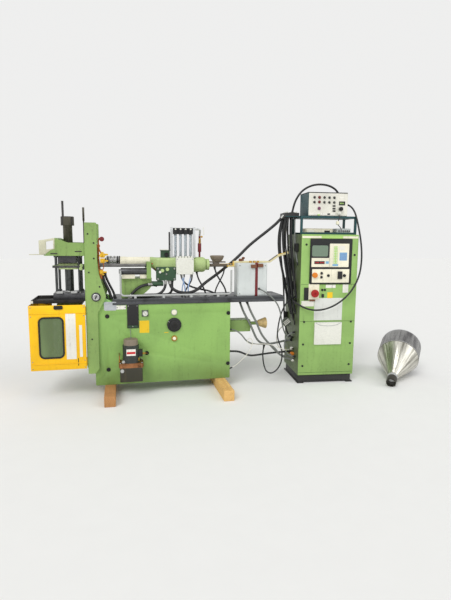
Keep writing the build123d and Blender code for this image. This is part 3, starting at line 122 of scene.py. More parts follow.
class Recipe:
    """One finish: a material with its node tree."""

    def __init__(self, name, **fixed):
        self.material = bpy.data.materials.new(name)
        self.material.use_nodes = True
        self.tree = self.material.node_tree
        self.shader = self.tree.nodes["Principled BSDF"]
        for socket, value in fixed.items():
            self.shader.inputs[socket.replace("_", " ")].default_value = value
        self.place = self.node("ShaderNodeTexCoord", out="Object")

    def node(self, kind, settings=None, inputs=None, out=0):
        """Any node with its settings and its inputs, as a link to one of its outputs."""
        node = self.tree.nodes.new(kind)
        for key, value in (settings or {}).items():
            setattr(node, key, value)
        for key, value in (inputs or {}).items():
            if isinstance(value, Link):
                self.tree.links.new(value.socket, node.inputs[key])
            else:
                node.inputs[key].default_value = value
        return Link(self, node.outputs[out])

    def feed(self, socket, link):
        """Joins a link to a socket of the shader."""
        self.tree.links.new(link.socket, self.shader.inputs[socket])

    def noise(self, scale, detail=3.0, stretch=(1, 1, 1), turn=(0, 0, 0), rough=0.55):
        """Noise of 0 to 1 in the frame's metres, stretched and turned."""
        mapped = self.node("ShaderNodeMapping", None,
                           {"Vector": self.place, "Scale": stretch, "Rotation": turn})
        return self.node("ShaderNodeTexNoise", None,
                         {"Vector": mapped, "Scale": scale, "Detail": detail, "Roughness": rough})

    def wave(self, mapping, inputs, settings=None):
        """Bands or rings in a moved or turned space."""
        mapped = self.node("ShaderNodeMapping", None, {"Vector": self.place, **mapping})
        return self.node("ShaderNodeTexWave", settings, {"Vector": mapped, **inputs}, out="Fac")

    def fade(self, value, low, high, to_low=0.0, to_high=1.0):
        """A value's smooth way from one range to another."""
        return self.node("ShaderNodeMapRange", {"interpolation_type": "SMOOTHSTEP"},
                         {"Value": value, "From Min": low, "From Max": high,
                          "To Min": to_low, "To Max": to_high})

    def mix(self, first, second, share):
        """Two colours by the share of the second."""
        return self.node("ShaderNodeMix", {"data_type": "RGBA"}, {0: share, 6: first, 7: second}, out=2)

    def axis(self, name):
        """The place along one axis of the frame."""
        return self.node("ShaderNodeSeparateXYZ", None, {0: self.place}, out=name)

    def edge(self, width):
        """A mask that is 1 on sharp edges and 0 on flat faces."""
        rounded = self.node("ShaderNodeBevel", {"samples": 4}, {"Radius": width})
        flat = self.node("ShaderNodeNewGeometry", out="Normal")
        same = self.node("ShaderNodeVectorMath", {"operation": "DOT_PRODUCT"},
                         {0: rounded, 1: flat}, out="Value")
        return self.fade(same, 0.985, 0.90)

    def relief(self, height, depth, strength=0.4, soft=0.0):
        """Bump by a height, over edges that look rounded where soft is a radius."""
        inputs = {"Height": height, "Distance": depth, "Strength": strength}
        if soft:
            inputs["Normal"] = self.node("ShaderNodeBevel", {"samples": 4}, {"Radius": soft})
        self.feed("Normal", self.node("ShaderNodeBump", None, inputs))


def paint(name, colour, grime=0.4, chips=0.35, rough=0.42, dirt=rgb(62, 58, 38), foot=None,
          bare=rgb(70, 66, 60)):
    """Gloss or satin paint on steel, with dust, runs of oil and chipped edges.

    A foot is the height where its dirt is full, the height where it ends and how much of it there is.
    """
    recipe = Recipe(name, Specular_IOR_Level=0.45)
    broad = recipe.noise(2.3, 4)
    fine = recipe.noise(38, 6, rough=0.7)
    runs = recipe.noise(5, 5, stretch=(7, 7, 0.55), rough=0.65)
    tone = recipe.mix(shade(colour, 0.86), shade(colour, 1.07), recipe.fade(broad, 0.3, 0.7))
    stain = recipe.fade(runs * 0.6 + fine * 0.4, 0.5, 0.78) * grime
    if foot:
        full, end, share = foot
        height = recipe.axis("Z") + broad * 0.25
        stain = stain + recipe.fade(height, end + 0.12, full + 0.12) * share
    worn = recipe.edge(0.004) * recipe.fade(fine, 0.5, 0.62) * chips
    specks = recipe.fade(recipe.noise(95, 2), 0.70, 0.76) * chips
    recipe.feed("Base Color", recipe.mix(recipe.mix(tone, dirt, stain), bare, worn + specks))
    recipe.feed("Roughness", recipe.fade(fine, 0.2, 0.8, rough - 0.05, rough + 0.12) + stain * 0.3)
    recipe.relief(recipe.noise(420, 2), 0.0006, 0.12, soft=0.0022)
    return recipe.material


def metal(name, colour, rough=0.3, along="X", oil=0.3, dark=rgb(30, 27, 24)):
    """Ground, drawn or polished metal with fine lines along one axis and patches of oil."""
    recipe = Recipe(name, Metallic=0.92)
    lines = recipe.noise(220, 3, stretch=[0.04 if axis == along else 1 for axis in "XYZ"])
    patch = recipe.noise(14, 5, rough=0.65)
    tone = recipe.mix(shade(colour, 0.72), colour, lines)
    recipe.feed("Base Color", recipe.mix(tone, dark, recipe.fade(patch, 0.45, 0.75) * oil))
    recipe.feed("Roughness", recipe.fade(lines, 0.3, 0.7, rough - 0.07, rough + 0.12) + patch * 0.08)
    recipe.relief(lines, 0.0003, 0.25, soft=0.0015)
    return recipe.material


def plastic(name, colour, rough=0.45, dirt=0.25, grain=0.08, tint=rgb(90, 84, 66)):
    """Moulded plastic or rubber with a fine grain, handling marks and dust."""
    recipe = Recipe(name, Specular_IOR_Level=0.4)
    patch = recipe.noise(11, 5, rough=0.65)
    fine = recipe.noise(70, 4)
    tone = recipe.mix(shade(colour, 0.92), colour, recipe.fade(fine, 0.3, 0.65))
    recipe.feed("Base Color", recipe.mix(tone, tint, recipe.fade(patch, 0.5, 0.8) * dirt))
    recipe.feed("Roughness", recipe.fade(patch, 0.2, 0.8, rough - 0.06, rough + 0.14))
    recipe.relief(recipe.noise(600, 2), 0.0004, grain, soft=0.0012)
    return recipe.material


def glass(name, colour, alpha):
    """Thin clear glass or acrylic with grease and dust."""
    recipe = Recipe(name, Base_Color=colour, Specular_IOR_Level=0.6)
    smear = recipe.noise(9, 5, stretch=(1, 1, 0.4), rough=0.7)
    recipe.feed("Roughness", recipe.fade(smear, 0.35, 0.75, 0.08, 0.38))
    recipe.feed("Alpha", recipe.fade(smear, 0.3, 0.8, alpha, min(1.0, alpha + 0.25)))
    return recipe.material


def knurl(name, colour):
    """Dark steel with a fine diamond knurl."""
    recipe = Recipe(name, Metallic=0.8, Roughness=0.46)
    first, second = (recipe.wave({"Rotation": (0, turn, turn)}, {"Scale": 130}) for turn in (0.7, -0.7))
    cut = first * second
    patch = recipe.noise(16, 5)
    # The grooves are painted darker than the ridges: painted shade in the grooves.
    tone = recipe.mix(shade(colour, 0.45), colour, cut)
    recipe.feed("Base Color", recipe.mix(tone, rgb(40, 34, 28), recipe.fade(patch, 0.4, 0.75) * 0.6))
    recipe.relief(cut, 0.001, 0.6)
    return recipe.material


def bed_paint(name):
    """Green lugs at the bed's left end, bare dark steel on the rest of it."""
    recipe = Recipe(name, Specular_IOR_Level=0.45)
    fine = recipe.noise(60, 5, rough=0.7)
    lines = recipe.noise(160, 4, stretch=(0.03, 1, 1))
    patch = recipe.noise(7, 5, rough=0.6)
    green = recipe.mix(rgb(120, 168, 92), rgb(148, 196, 116), patch)
    steel = recipe.mix(rgb(52, 53, 55), rgb(104, 106, 109), lines)
    steel = recipe.mix(steel, rgb(30, 28, 25), recipe.fade(patch, 0.5, 0.75) * 0.6)
    lug = recipe.axis("X") + fine * 0.012 < LUGS_END
    recipe.feed("Base Color", recipe.mix(recipe.mix(steel, green, lug), rgb(38, 36, 30),
                                         recipe.fade(fine, 0.62, 0.75) * 0.5))
    recipe.feed("Metallic", (1 - lug) * 0.75)
    recipe.feed("Roughness", recipe.fade(patch, 0.3, 0.7, 0.32, 0.5))
    recipe.relief(lines, 0.0004, 0.3, soft=0.002)
    return recipe.material


def sawn_wood(name):
    """Sawn softwood: weathered brown at the left, fresh and pale at the right."""
    recipe = Recipe(name, Roughness=0.82, Specular_IOR_Level=0.25)
    grain = recipe.noise(30, 5, stretch=(1, 0.06, 1), rough=0.65)
    rings = recipe.wave({"Location": (0.31, 0, 0.06)},
                        {"Scale": 28, "Distortion": 5, "Detail": 3, "Detail Scale": 2.5},
                        {"wave_type": "RINGS", "rings_direction": "Y"})
    figure = rings * 0.5 + grain * 0.4
    old = recipe.mix(rgb(198, 148, 96), rgb(142, 96, 58), figure)
    new = recipe.mix(rgb(232, 194, 128), rgb(196, 148, 84), figure)
    right = recipe.axis("X") > FRESH_WOOD
    stain = recipe.fade(recipe.noise(9, 6, rough=0.7), 0.5, 0.75) * 0.55
    recipe.feed("Base Color", recipe.mix(recipe.mix(old, new, right), rgb(70, 52, 38), stain))
    recipe.relief(grain, 0.0015, 0.5, soft=0.003)
    return recipe.material


def pane(name, colour, alpha):
    """Scratched acrylic, tinted nearly opaque in the painted shade of what lies behind it, with a painted
    highlight in a broad curved band.
    """
    recipe = Recipe(name, Specular_IOR_Level=0.6)
    smear = recipe.noise(9, 5, stretch=(1, 1, 0.4), rough=0.7)
    # A broad curved band painted lighter along a scratch: a painted highlight.
    scratch_highlight = recipe.noise(3.2, 2, stretch=(1, 1, 0.35), turn=(0, 0.5, 0))
    recipe.feed("Base Color", recipe.mix(colour, shade(colour, 1.7), recipe.fade(scratch_highlight, 0.52, 0.66) * 0.6))
    recipe.feed("Roughness", recipe.fade(smear, 0.35, 0.75, 0.1, 0.4))
    recipe.feed("Alpha", recipe.fade(smear, 0.3, 0.8, alpha, 0.97))
    return recipe.material


def hopper_steel(name, dark, light):
    """Polished stainless sheet with rings from polishing and soft streaks along the cone; the streaks' dark
    and light tones are painted reflections.
    """
    recipe = Recipe(name, Metallic=0.95)
    own = recipe.node("ShaderNodeMapping", {"vector_type": "TEXTURE"}, {
        "Vector": recipe.place, "Location": HOPPER.translation, "Rotation": HOPPER.to_euler()})
    x, y, z = (recipe.node("ShaderNodeSeparateXYZ", None, {0: own}, out=axis) for axis in "XYZ")
    polar = recipe.node("ShaderNodeCombineXYZ", None, {"X": x.maths("ARCTAN2", y, x), "Y": z * 0.6})
    bands = recipe.node("ShaderNodeTexNoise", None,
                        {"Vector": polar, "Scale": 3.4, "Detail": 5.0, "Roughness": 0.6})
    rings = recipe.node("ShaderNodeTexNoise", {"noise_dimensions": "1D"},
                        {"W": z, "Scale": 420, "Detail": 3.0})
    # Dark and light tones in streaks around the axis: painted reflections.
    tone = recipe.mix(dark, light, recipe.fade(bands, 0.34, 0.66))
    recipe.feed("Base Color", recipe.mix(tone, rgb(150, 146, 136), rings * 0.35))
    recipe.feed("Roughness", recipe.fade(rings, 0.3, 0.7, 0.26, 0.42))
    recipe.relief(rings, 0.0002, 0.15)
    return recipe.material


# Each finish: its recipe, colour and further values, with a dictionary for those given by name
FINISHES = {
    "green_paint": (paint, rgb(138, 178, 94), 0.38, 0.5, {"foot": (0.1, 0.42, 0.35)}),
    "clamp_green": (paint, rgb(134, 164, 92), 0.65, 0.8),
    "light_green": (paint, rgb(176, 198, 132), 0.5, 0.5),
    # The mould plates' green is much lighter than their paint: painted light against the arm's shadow.
    "plate_green": (paint, rgb(212, 230, 168), 0.45, 0.4),
    "dark_green": (paint, rgb(44, 74, 50), 0.5, 0.5),
    "worn_cream": (paint, rgb(206, 204, 178), 0.6, 0.6, {"dirt": rgb(96, 92, 66)}),
    "column_steel": (metal, rgb(98, 95, 84), 0.42, "Z", 0.7, rgb(46, 45, 38)),
    "cabinet_green": (paint, rgb(146, 184, 102), 0.35, 0.4, {"foot": (0.09, 0.5, 0.25)}),
    "guard_yellow": (paint, rgb(250, 194, 0), 0.35, 0.45, 0.32, rgb(120, 84, 16)),
    "cream_paint": (paint, rgb(236, 231, 208), 0.45, 0.35),
    "black_paint": (paint, rgb(34, 34, 33), 0.5, 0.5, 0.5, rgb(74, 64, 48), {"bare": rgb(120, 112, 96)}),
    "teal_paint": (paint, rgb(22, 66, 70), 0.35, 0.5),
    "grey_box_paint": (paint, rgb(202, 207, 205), 0.3, 0.25),
    "beige_paint": (paint, rgb(206, 200, 176), 0.4, 0.3),
    "controller_white": (paint, rgb(226, 224, 212), 0.25, 0.2),
    "red_paint": (paint, rgb(110, 26, 30), 0.4, 0.5),
    "oiled_steel": (metal, rgb(92, 92, 94), 0.36, "Z", 0.7),
    "bright_steel": (metal, rgb(206, 206, 204), 0.28, "X", 0.2),
    "post_steel": (metal, rgb(214, 216, 216), 0.3, "Z", 0.15),
    "chrome": (metal, rgb(92, 94, 94), 0.2, "Z", 0.5),
    "rod_steel": (metal, rgb(128, 126, 124), 0.22, "X", 0.45),
    "tray_steel": (metal, rgb(58, 56, 55), 0.42, "X", 0.8),
    "brass": (metal, rgb(190, 150, 70), 0.34, "Z", 0.35),
    "copper": (metal, rgb(186, 112, 66), 0.36, "Z", 0.4),
    "screw_zinc": (metal, rgb(176, 176, 172), 0.34, "X", 0.35),
    "black_plastic": (plastic, rgb(30, 30, 31), 0.42),
    "black_rubber": (plastic, rgb(26, 26, 25), 0.66, 0.35, 0.2),
    "grey_rubber": (plastic, rgb(176, 178, 176), 0.5, 0.35),
    "white_plastic": (plastic, rgb(222, 222, 212), 0.42, 0.08),
    "hose_black": (plastic, rgb(40, 40, 41), 0.5, 0.35, 0.15, rgb(98, 92, 80)),
    "cable_black": (plastic, rgb(36, 37, 38), 0.46, 0.35, 0.12, rgb(98, 92, 80)),
    "cable_grey": (plastic, rgb(118, 122, 118), 0.5, 0.3),
    "cable_white": (plastic, rgb(220, 218, 206), 0.5, 0.3),
    "hose_blue": (plastic, rgb(150, 176, 214), 0.4, 0.15),
    "panel_black": (plastic, rgb(28, 29, 30), 0.36, 0.2),
    "glass_tube": (glass, rgb(196, 206, 210), 0.3),
    # The window's dark green and near-opaque alpha paint the shaded green housing seen through it.
    "window_pane": (pane, rgb(92, 110, 70), 0.86),
    "knurled_steel": (knurl, rgb(86, 84, 82)),
    "brass_yellow": (paint, rgb(222, 176, 34), 0.5, 0.4, 0.4, rgb(86, 62, 22)),
    "blank_label": (paint, rgb(234, 232, 222), 0.6, 0.3, 0.4, rgb(96, 90, 72)),
    "blank_yellow": (paint, rgb(236, 196, 30), 0.45, 0.3, 0.4),
    "blank_red": (paint, rgb(196, 40, 44), 0.35, 0.2, 0.4),
    "blank_orange": (paint, rgb(216, 124, 30), 0.3, 0.2, 0.36),
    # A darker copy of the cabinet's green for its left side: painted shade, with heavier dirt.
    "cabinet_side": (paint, rgb(84, 100, 58), 0.95, 0.6, {"dirt": rgb(34, 36, 22)}),
    "tube_yellow": (plastic, rgb(188, 196, 84), 0.45, 0.3),
    "weld_seam": (metal, rgb(120, 116, 108), 0.45, "Z", 0.5),
    # The dark and light tones of the hopper's two steels are painted reflections.
    "band_steel": (hopper_steel, rgb(70, 70, 76), rgb(150, 150, 150)),
    "cone_steel": (hopper_steel, rgb(126, 124, 114), rgb(236, 234, 224)),
    "red_button": (plastic, rgb(160, 22, 20), 0.3, 0.15),
    "paper_white": (paint, rgb(218, 220, 214), 0.4, 0.1, 0.55),
    "bare_patch": (metal, rgb(206, 210, 214), 0.36, "X", 0.25),
    "gauge_grey": (plastic, rgb(96, 104, 92), 0.45),
    "key_blue": (plastic, rgb(126, 174, 206), 0.4, 0.15),
    "key_dark": (plastic, rgb(128, 150, 200), 0.4, 0.15),
    "key_green": (plastic, rgb(176, 214, 120), 0.4, 0.15),
    "purple_plastic": (plastic, rgb(120, 62, 96), 0.4, 0.15),
    "screen_glass": (plastic, rgb(116, 134, 116), 0.16, 0.2, 0.02),
    "rust_brown": (paint, rgb(118, 72, 46), 0.6, 0.4, 0.55, rgb(50, 34, 24)),
    "cap_grey": (paint, rgb(128, 116, 100), 0.6, 0.3, 0.5, rgb(60, 52, 42)),
    "worn_copper": (metal, rgb(168, 116, 78), 0.42, "X", 0.85, rgb(46, 38, 26)),
    "tank_black": (paint, rgb(50, 48, 36), 0.6, 0.4, 0.34, rgb(88, 78, 52), {"bare": rgb(120, 112, 80)}),
    "pump_motor": (paint, rgb(40, 46, 42), 0.5, 0.5, 0.4, rgb(84, 78, 60), {"bare": rgb(120, 116, 100)}),
    "cable_bar": (paint, rgb(92, 82, 70), 0.5, 0.5, 0.5, rgb(44, 38, 30)),
    "arm_cream": (paint, rgb(224, 214, 168), 0.6, 0.4, 0.45, rgb(110, 88, 50)),
    "breather_tan": (paint, rgb(208, 180, 120), 0.5, 0.3),
    "arm_yellow": (paint, rgb(242, 196, 48), 0.4, 0.4, 0.42, rgb(110, 84, 30)),
    "meter_blue": (plastic, rgb(58, 78, 120), 0.3, 0.1),
    "collar_steel": (metal, rgb(84, 82, 76), 0.34, "X", 0.5),
    "bed_finish": (bed_paint,),
    "timber_wood": (sawn_wood,),
}
made_finishes = {}


def finish(name):
    """The finish of that name, made when it is first asked for."""
    if name not in made_finishes:
        kind, *values = FINISHES[name]
        options = values.pop() if values and isinstance(values[-1], dict) else {}
        made_finishes[name] = kind(name, *values, **options)
    return made_finishes[name]


# The finishes of the nodes that show as they come from the CAD
NODE_FINISH = {
    "clamp_green": ("clamp_cheek_front", "clamp_cheek_rear", "clamp_arm", "clamp_cylinder", "unit_support"),
    "oiled_steel": ("upper_platen",), "chrome": ("tie_bars", "press_ram"), "black_rubber": ("guard_trim",),
    "window_pane": ("window_glass",), "bright_steel": ("barrel",), "grey_rubber": ("bed_tube",),
    "copper": ("coolant_pipe",),
}

# ---- Hoses and cables ----
# Of each node that they stand for: finish, radius in millimetres and stiffness, then each one's length
# in metres and route in the frame's millimetres
CORDS = {
    "long_hose": ("hose_black", 15, "stiff", [(1.613, [(-790, 25, 1100), (-786, 20, 1048), (-756, 8, 1004),
        (-700, -3, 978), (-630, -6, 969), (-562, -2, 979), (-500, 16, 1011), (-436, 62, 1058),
        (-358, 112, 1102), (-274, 160, 1150), (-186, 196, 1211), (-103, 209, 1272), (-26, 213, 1342),
        (56, 211, 1426), (144, 205, 1499), (235, 194, 1570), (337, 178, 1654), (385, 167, 1706),
        (427, 160, 1750)])]),
    "rack_cable": ("cable_black", 11, "medium", [(1.13, [(562, 284, 1770), (578, 292, 1850),
        (616, 299, 1945), (682, 302, 2030), (779, 300, 2084), (884, 297, 2102), (990, 293, 2090),
        (1070, 290, 2050), (1116, 296, 1990), (1126, 308, 1916), (1098, 320, 1850), (1048, 322, 1808),
        (1000, 304, 1790), (972, 266, 1786), (962, 221, 1786)])]),
    "door_cable": ("cable_black", 9, "medium", [(1.807, [(1006, 0, 1868), (1050, -13, 1867),
        (1086, -46, 1842), (1108, -84, 1786), (1122, -110, 1706), (1134, -130, 1622), (1146, -150, 1530),
        (1154, -167, 1430), (1156, -178, 1330), (1150, -184, 1235), (1134, -188, 1150), (1103, -191, 1070),
        (1056, -192, 992), (996, -190, 922), (926, -186, 866), (846, -182, 822), (762, -176, 795),
        (678, -168, 786), (606, -156, 796), (548, -136, 818), (512, -104, 842), (495, -70, 855),
        (492, -34, 864), (501, -4, 868), (522, 18, 868), (556, 30, 866)])]),
    "blue_hoses": ("hose_blue", 6, "medium", [(0.234, [(-672, 22, 1158), (-664, 23, 1105), (-644, 24, 1052),
        (-636, 26, 1000), (-637, 27, 928)]), (0.233, [(-578, 22, 1158), (-586, 23, 1105), (-602, 24, 1054),
        (-608, 26, 1000), (-605, 27, 928)])]),
    "bed_arch": ("hose_black", 14, "stiff", [(0.28, [(-955, 18, 1060), (-1006, 15, 1058), (-1057, 11, 1046),
        (-1104, 10, 1020), (-1146, 11, 980), (-1184, 12, 927)])]),
    "bed_hose": ("hose_black", 13, "stiff", [(0.462, [(-828, 12, 1100), (-830, 6, 1052), (-848, -4, 1004),
        (-892, -12, 966), (-958, -15, 951), (-1020, -14, 949), (-1080, -17, 949), (-1140, -18, 947),
        (-1192, -18, 928)])]),
    "clamp_hose": ("hose_black", 15, "stiff", [(0.278, [(-1448, -40, 1128), (-1446, -38, 1085),
        (-1436, -28, 1040), (-1421, -12, 998), (-1402, 3, 957), (-1385, 13, 916), (-1374, 17, 870)])]),
    "thick_cables": ("cable_grey", 11, "medium", [(0.94, [(-76, 46, 882), (-50, 46, 800), (-8, 46, 716),
        (46, 46, 622), (86, 47, 530), (124, 54, 455), (180, 72, 410), (255, 96, 394), (340, 120, 396),
        (430, 143, 405), (500, 156, 412), (562, 163, 414)]), (0.913, [(-12, 3, 882), (16, 3, 806),
        (56, 3, 725), (100, 3, 650), (132, 6, 570), (172, 14, 500), (226, 25, 438), (284, 37, 376),
        (344, 46, 314), (408, 50, 264), (478, 52, 232), (552, 53, 219)])]),
    "cross_cable": ("cable_grey", 7, "medium", [(0.888, [(-198, 20, 588), (-150, 6, 585), (-98, -16, 563),
        (-58, -31, 524), (-28, -38, 480), (14, -40, 448), (74, -40, 432), (146, -38, 428), (216, -37, 424),
        (268, -36, 402), (308, -32, 362), (342, -21, 316), (386, 0, 286), (440, 32, 275), (498, 62, 276),
        (552, 78, 279)])]),
    "white_cable": ("cable_white", 3.5, "limp", [(1.128, [(552, 102, 330), (492, 62, 334), (432, 4, 346),
        (374, -46, 366), (318, -62, 392), (264, -62, 418), (206, -63, 432), (146, -62, 437), (84, -62, 436),
        (32, -61, 438), (0, -59, 446), (-18, -57, 470), (-6, -56, 497), (24, -56, 500), (44, -57, 475),
        (38, -58, 430), (20, -56, 384), (-8, -52, 338), (-56, -52, 288), (-114, -53, 236), (-162, -49, 205),
        (-198, -44, 190)])]),
    "drop_loop": ("cable_black", 7, "medium", [(1.317, [(552, 60, 900), (504, 50, 894), (456, 28, 874),
        (412, 6, 832), (378, 0, 774), (356, 2, 708), (342, 3, 640), (332, 2, 572), (326, -2, 504),
        (342, -10, 436), (368, -22, 372), (377, -30, 298), (366, -32, 220), (328, -32, 148),
        (266, -31, 106), (206, -30, 128), (180, -29, 190), (168, -28, 254), (162, -28, 316),
        (168, -29, 372), (174, -34, 422)])]),
    "grey_cable": ("cable_grey", 7, "medium", [(0.831, [(106, -26, 1004), (108, -56, 1003), (122, -80, 996),
        (150, -94, 980), (194, -98, 948), (244, -90, 904), (290, -74, 854), (324, -52, 798),
        (350, -28, 732), (370, -2, 662), (392, 22, 594), (420, 46, 530), (456, 70, 482), (502, 96, 456),
        (553, 118, 450)])]),
}
# The six strapped cables on the cabinet's left side: radius, length in metres and route in the
# cabinet's own millimetres
LOOM = [
    (13, 1.013, [(-118, 322, 1738), (-146, 318, 1630), (-160, 316, 1500), (-150, 318, 1360),
     (-118, 320, 1210), (-84, 319, 1070), (-60, 316, 945), (-36, 312, 830), (5, 310, 750)]),
    (10, 1.05, [(-120, 270, 1738), (-130, 268, 1600), (-122, 270, 1430), (-94, 273, 1250), (-62, 275, 1070),
     (-40, 270, 910), (-24, 262, 780), (5, 260, 700)]),
    (13, 1.103, [(-118, 196, 1738), (-135, 207, 1580), (-127, 224, 1410), (-96, 227, 1230),
     (-66, 223, 1050), (-46, 215, 890), (-30, 205, 740), (5, 200, 650)]),
    (9, 1.007, [(-82, 235, 1738), (-86, 231, 1590), (-78, 226, 1430), (-56, 222, 1250), (-36, 214, 1090),
     (-24, 196, 940), (-18, 176, 810), (5, 170, 740)]),
    (11, 0.855, [(-62, 170, 1738), (-67, 160, 1590), (-60, 150, 1430), (-42, 140, 1250), (-27, 130, 1090),
     (-18, 120, 960), (5, 114, 890)]),
    (9, 0.632, [(-40, 290, 1738), (-43, 286, 1610), (-36, 281, 1460), (-26, 276, 1310), (-18, 270, 1180),
     (5, 268, 1110)]),
]

# Smaller leads that only the scene has: name, place, finish, radius, length and route in that place's
# millimetres. Those under SHORTEST_LEAD aren't declared as cords, since 40 are declared already
LEADS = [
    ("loom_lead_1", CABINET, "cable_black", 8, 1.031, [(-100, 152, 1736), (-128, 150, 1600),
     (-128, 152, 1440), (-96, 150, 1260), (-66, 146, 1080), (-44, 140, 920), (-24, 130, 800),
     (4, 124, 720)]),
    ("loom_lead_2", CABINET, "cable_black", 8, 1.069, [(-100, 350, 1738), (-138, 348, 1600),
     (-150, 348, 1450), (-120, 346, 1280), (-84, 342, 1100), (-60, 334, 940), (-34, 324, 800),
     (4, 318, 690)]),
    ("loom_lead_3", CABINET, "cable_grey", 6, 0.764, [(-50, 200, 1738), (-56, 196, 1600), (-50, 190, 1450),
     (-36, 182, 1300), (-24, 170, 1150), (-18, 156, 1050), (4, 148, 980)]),
    ("loom_lead_4", CABINET, "cable_black", 9, 1.336, [(-132, 250, 1738), (-156, 248, 1600),
     (-160, 246, 1440), (-138, 244, 1250), (-112, 240, 1050), (-104, 238, 860), (-98, 238, 700),
     (-80, 240, 560), (-44, 244, 470), (4, 248, 436)]),
    ("loom_lead_5", CABINET, "cable_black", 7, 0.842, [(-76, 300, 1738), (-88, 300, 1600), (-84, 300, 1430),
     (-66, 302, 1250), (-44, 304, 1090), (-28, 306, 980), (4, 310, 906)]),
    ("loom_lead_6", CABINET, "cable_grey", 7, 0.509, [(-30, 160, 1738), (-34, 150, 1620), (-30, 136, 1490),
     (-22, 120, 1380), (-16, 108, 1300), (4, 100, 1236)]),
    ("loom_lead_7", CABINET, "cable_black", 6, 1.155, [(-112, 170, 1738), (-142, 168, 1610),
     (-146, 170, 1450), (-120, 172, 1270), (-88, 170, 1090), (-64, 166, 940), (-40, 160, 800),
     (-26, 156, 690), (4, 152, 600)]),
    ("side_tube", CABINET, "tube_yellow", 7, 0.28, [(4, 505, 352), (-14, 498, 340), (-26, 452, 300),
     (-28, 380, 264), (-22, 310, 244), (4, 272, 236)]),
    ("side_loop_1", CABINET, "cable_grey", 7, 0.395, [(4, 150, 520), (-50, 150, 512), (-104, 142, 452),
     (-120, 124, 372), (-96, 112, 300), (-44, 106, 268), (4, 104, 262)]),
    ("side_loop_2", CABINET, "cable_white", 5, 0.488, [(4, 400, 560), (-70, 392, 548), (-138, 372, 470),
     (-150, 338, 360), (-104, 300, 290), (-44, 286, 266), (4, 282, 262)]),
    ("plug_lead", CABINET, "cable_black", 4, 0.249, [(405, 58, 1768), (404, 32, 1750), (396, 26, 1716),
     (388, 40, 1684), (400, 74, 1656), (440, 104, 1634), (470, 134, 1608)]),
    ("valve_hose_1", MACHINE, "hose_black", 13, 0.255, [(86, 26, 1170), (92, 28, 1130), (108, 34, 1080),
     (132, 42, 1030), (152, 50, 980), (160, 54, 929)]),
    ("valve_hose_2", MACHINE, "hose_black", 11, 0.268, [(106, 40, 1178), (118, 54, 1130), (138, 66, 1080),
     (162, 72, 1030), (186, 78, 980), (196, 82, 929)]),
    ("second_arch", MACHINE, "hose_black", 14, 0.308, [(600, 124, 1046), (540, 122, 1050), (480, 118, 1042),
     (424, 114, 1018), (380, 110, 985), (350, 106, 956), (336, 102, 929)]),
    ("bed_line", MACHINE, "hose_black", 12, 0.479, [(742, 92, 1096), (744, 96, 1046), (744, 104, 996),
     (722, 112, 958), (670, 118, 948), (590, 120, 946), (500, 118, 946), (430, 112, 944), (388, 106, 929)]),
    ("casting_lead_1", MACHINE, "cable_black", 9, 0.488, [(842, 200, 1170), (846, 194, 1118),
     (874, 178, 1060), (946, 158, 1016), (1050, 146, 992), (1150, 144, 972), (1216, 146, 929)]),
    ("casting_lead_2", MACHINE, "cable_black", 8, 0.265, [(1004, 200, 1172), (1012, 196, 1120),
     (1038, 182, 1062), (1076, 166, 1000), (1096, 158, 929)]),
    ("casting_lead_3", MACHINE, "cable_black", 7, 0.265, [(960, 210, 1170), (962, 206, 1116),
     (944, 196, 1062), (902, 182, 1010), (880, 174, 962), (874, 170, 929)]),
    ("bar_lead_1", MACHINE, "cable_black", 8, 0.323, [(1180, 156, 1222), (1190, 152, 1170),
     (1218, 142, 1110), (1258, 128, 1050), (1290, 118, 990), (1300, 112, 929)]),
    ("bar_lead_2", MACHINE, "cable_black", 7, 0.317, [(1288, 168, 1222), (1284, 164, 1170),
     (1256, 156, 1110), (1220, 148, 1050), (1190, 142, 990), (1178, 140, 929)]),
    ("blue_hose_back", MACHINE, "hose_blue", 5, 0.231, [(862, 90, 1158), (862, 92, 1110), (852, 96, 1056),
     (840, 100, 1000), (842, 102, 929)]),
    ("base_lead", MACHINE, "cable_black", 10, 0.795, [(1308, 80, 352), (1372, 70, 358), (1440, 62, 346),
     (1500, 70, 314), (1562, 96, 292), (1640, 130, 286), (1740, 160, 288), (1860, 190, 288),
     (1960, 214, 284), (2067, 226, 282)]),
]


# ---- Modelling helpers ----
def only(*objects):
    """Selects these objects and nothing else, the last one active."""
    bpy.ops.object.select_all(action="DESELECT")
    for piece in objects:
        piece.select_set(True)
    bpy.context.view_layer.objects.active = objects[-1]


def apply(piece, kind, **settings):
    """Adds a modifier and applies it."""
    modifier = piece.modifiers.new(kind.title(), kind)
    for key, value in settings.items():
        setattr(modifier, key, value)
    only(piece)
    bpy.ops.object.modifier_apply(modifier=modifier.name)


def seat(piece, place):
    """Bakes a place into a piece's mesh."""
    piece.matrix_world = place
    only(piece)
    bpy.ops.object.transform_apply(location=True, rotation=True, scale=True)


def tidy_mesh(piece, smooth=35):
    """Merges doubles, turns the faces outwards and shades smooth up to an angle."""
    only(piece)
    bpy.ops.object.mode_set(mode="EDIT")
    bpy.ops.mesh.select_all(action="SELECT")
    bpy.ops.mesh.remove_doubles(threshold=MERGE_DISTANCE)
    bpy.ops.mesh.normals_make_consistent(inside=False)
    bpy.ops.object.mode_set(mode="OBJECT")
    bpy.ops.object.shade_smooth_by_angle(angle=math.radians(smooth))


def at(x, y, z):
    """A move in millimetres."""
    return Matrix.Translation((x / 1000, y / 1000, z / 1000))


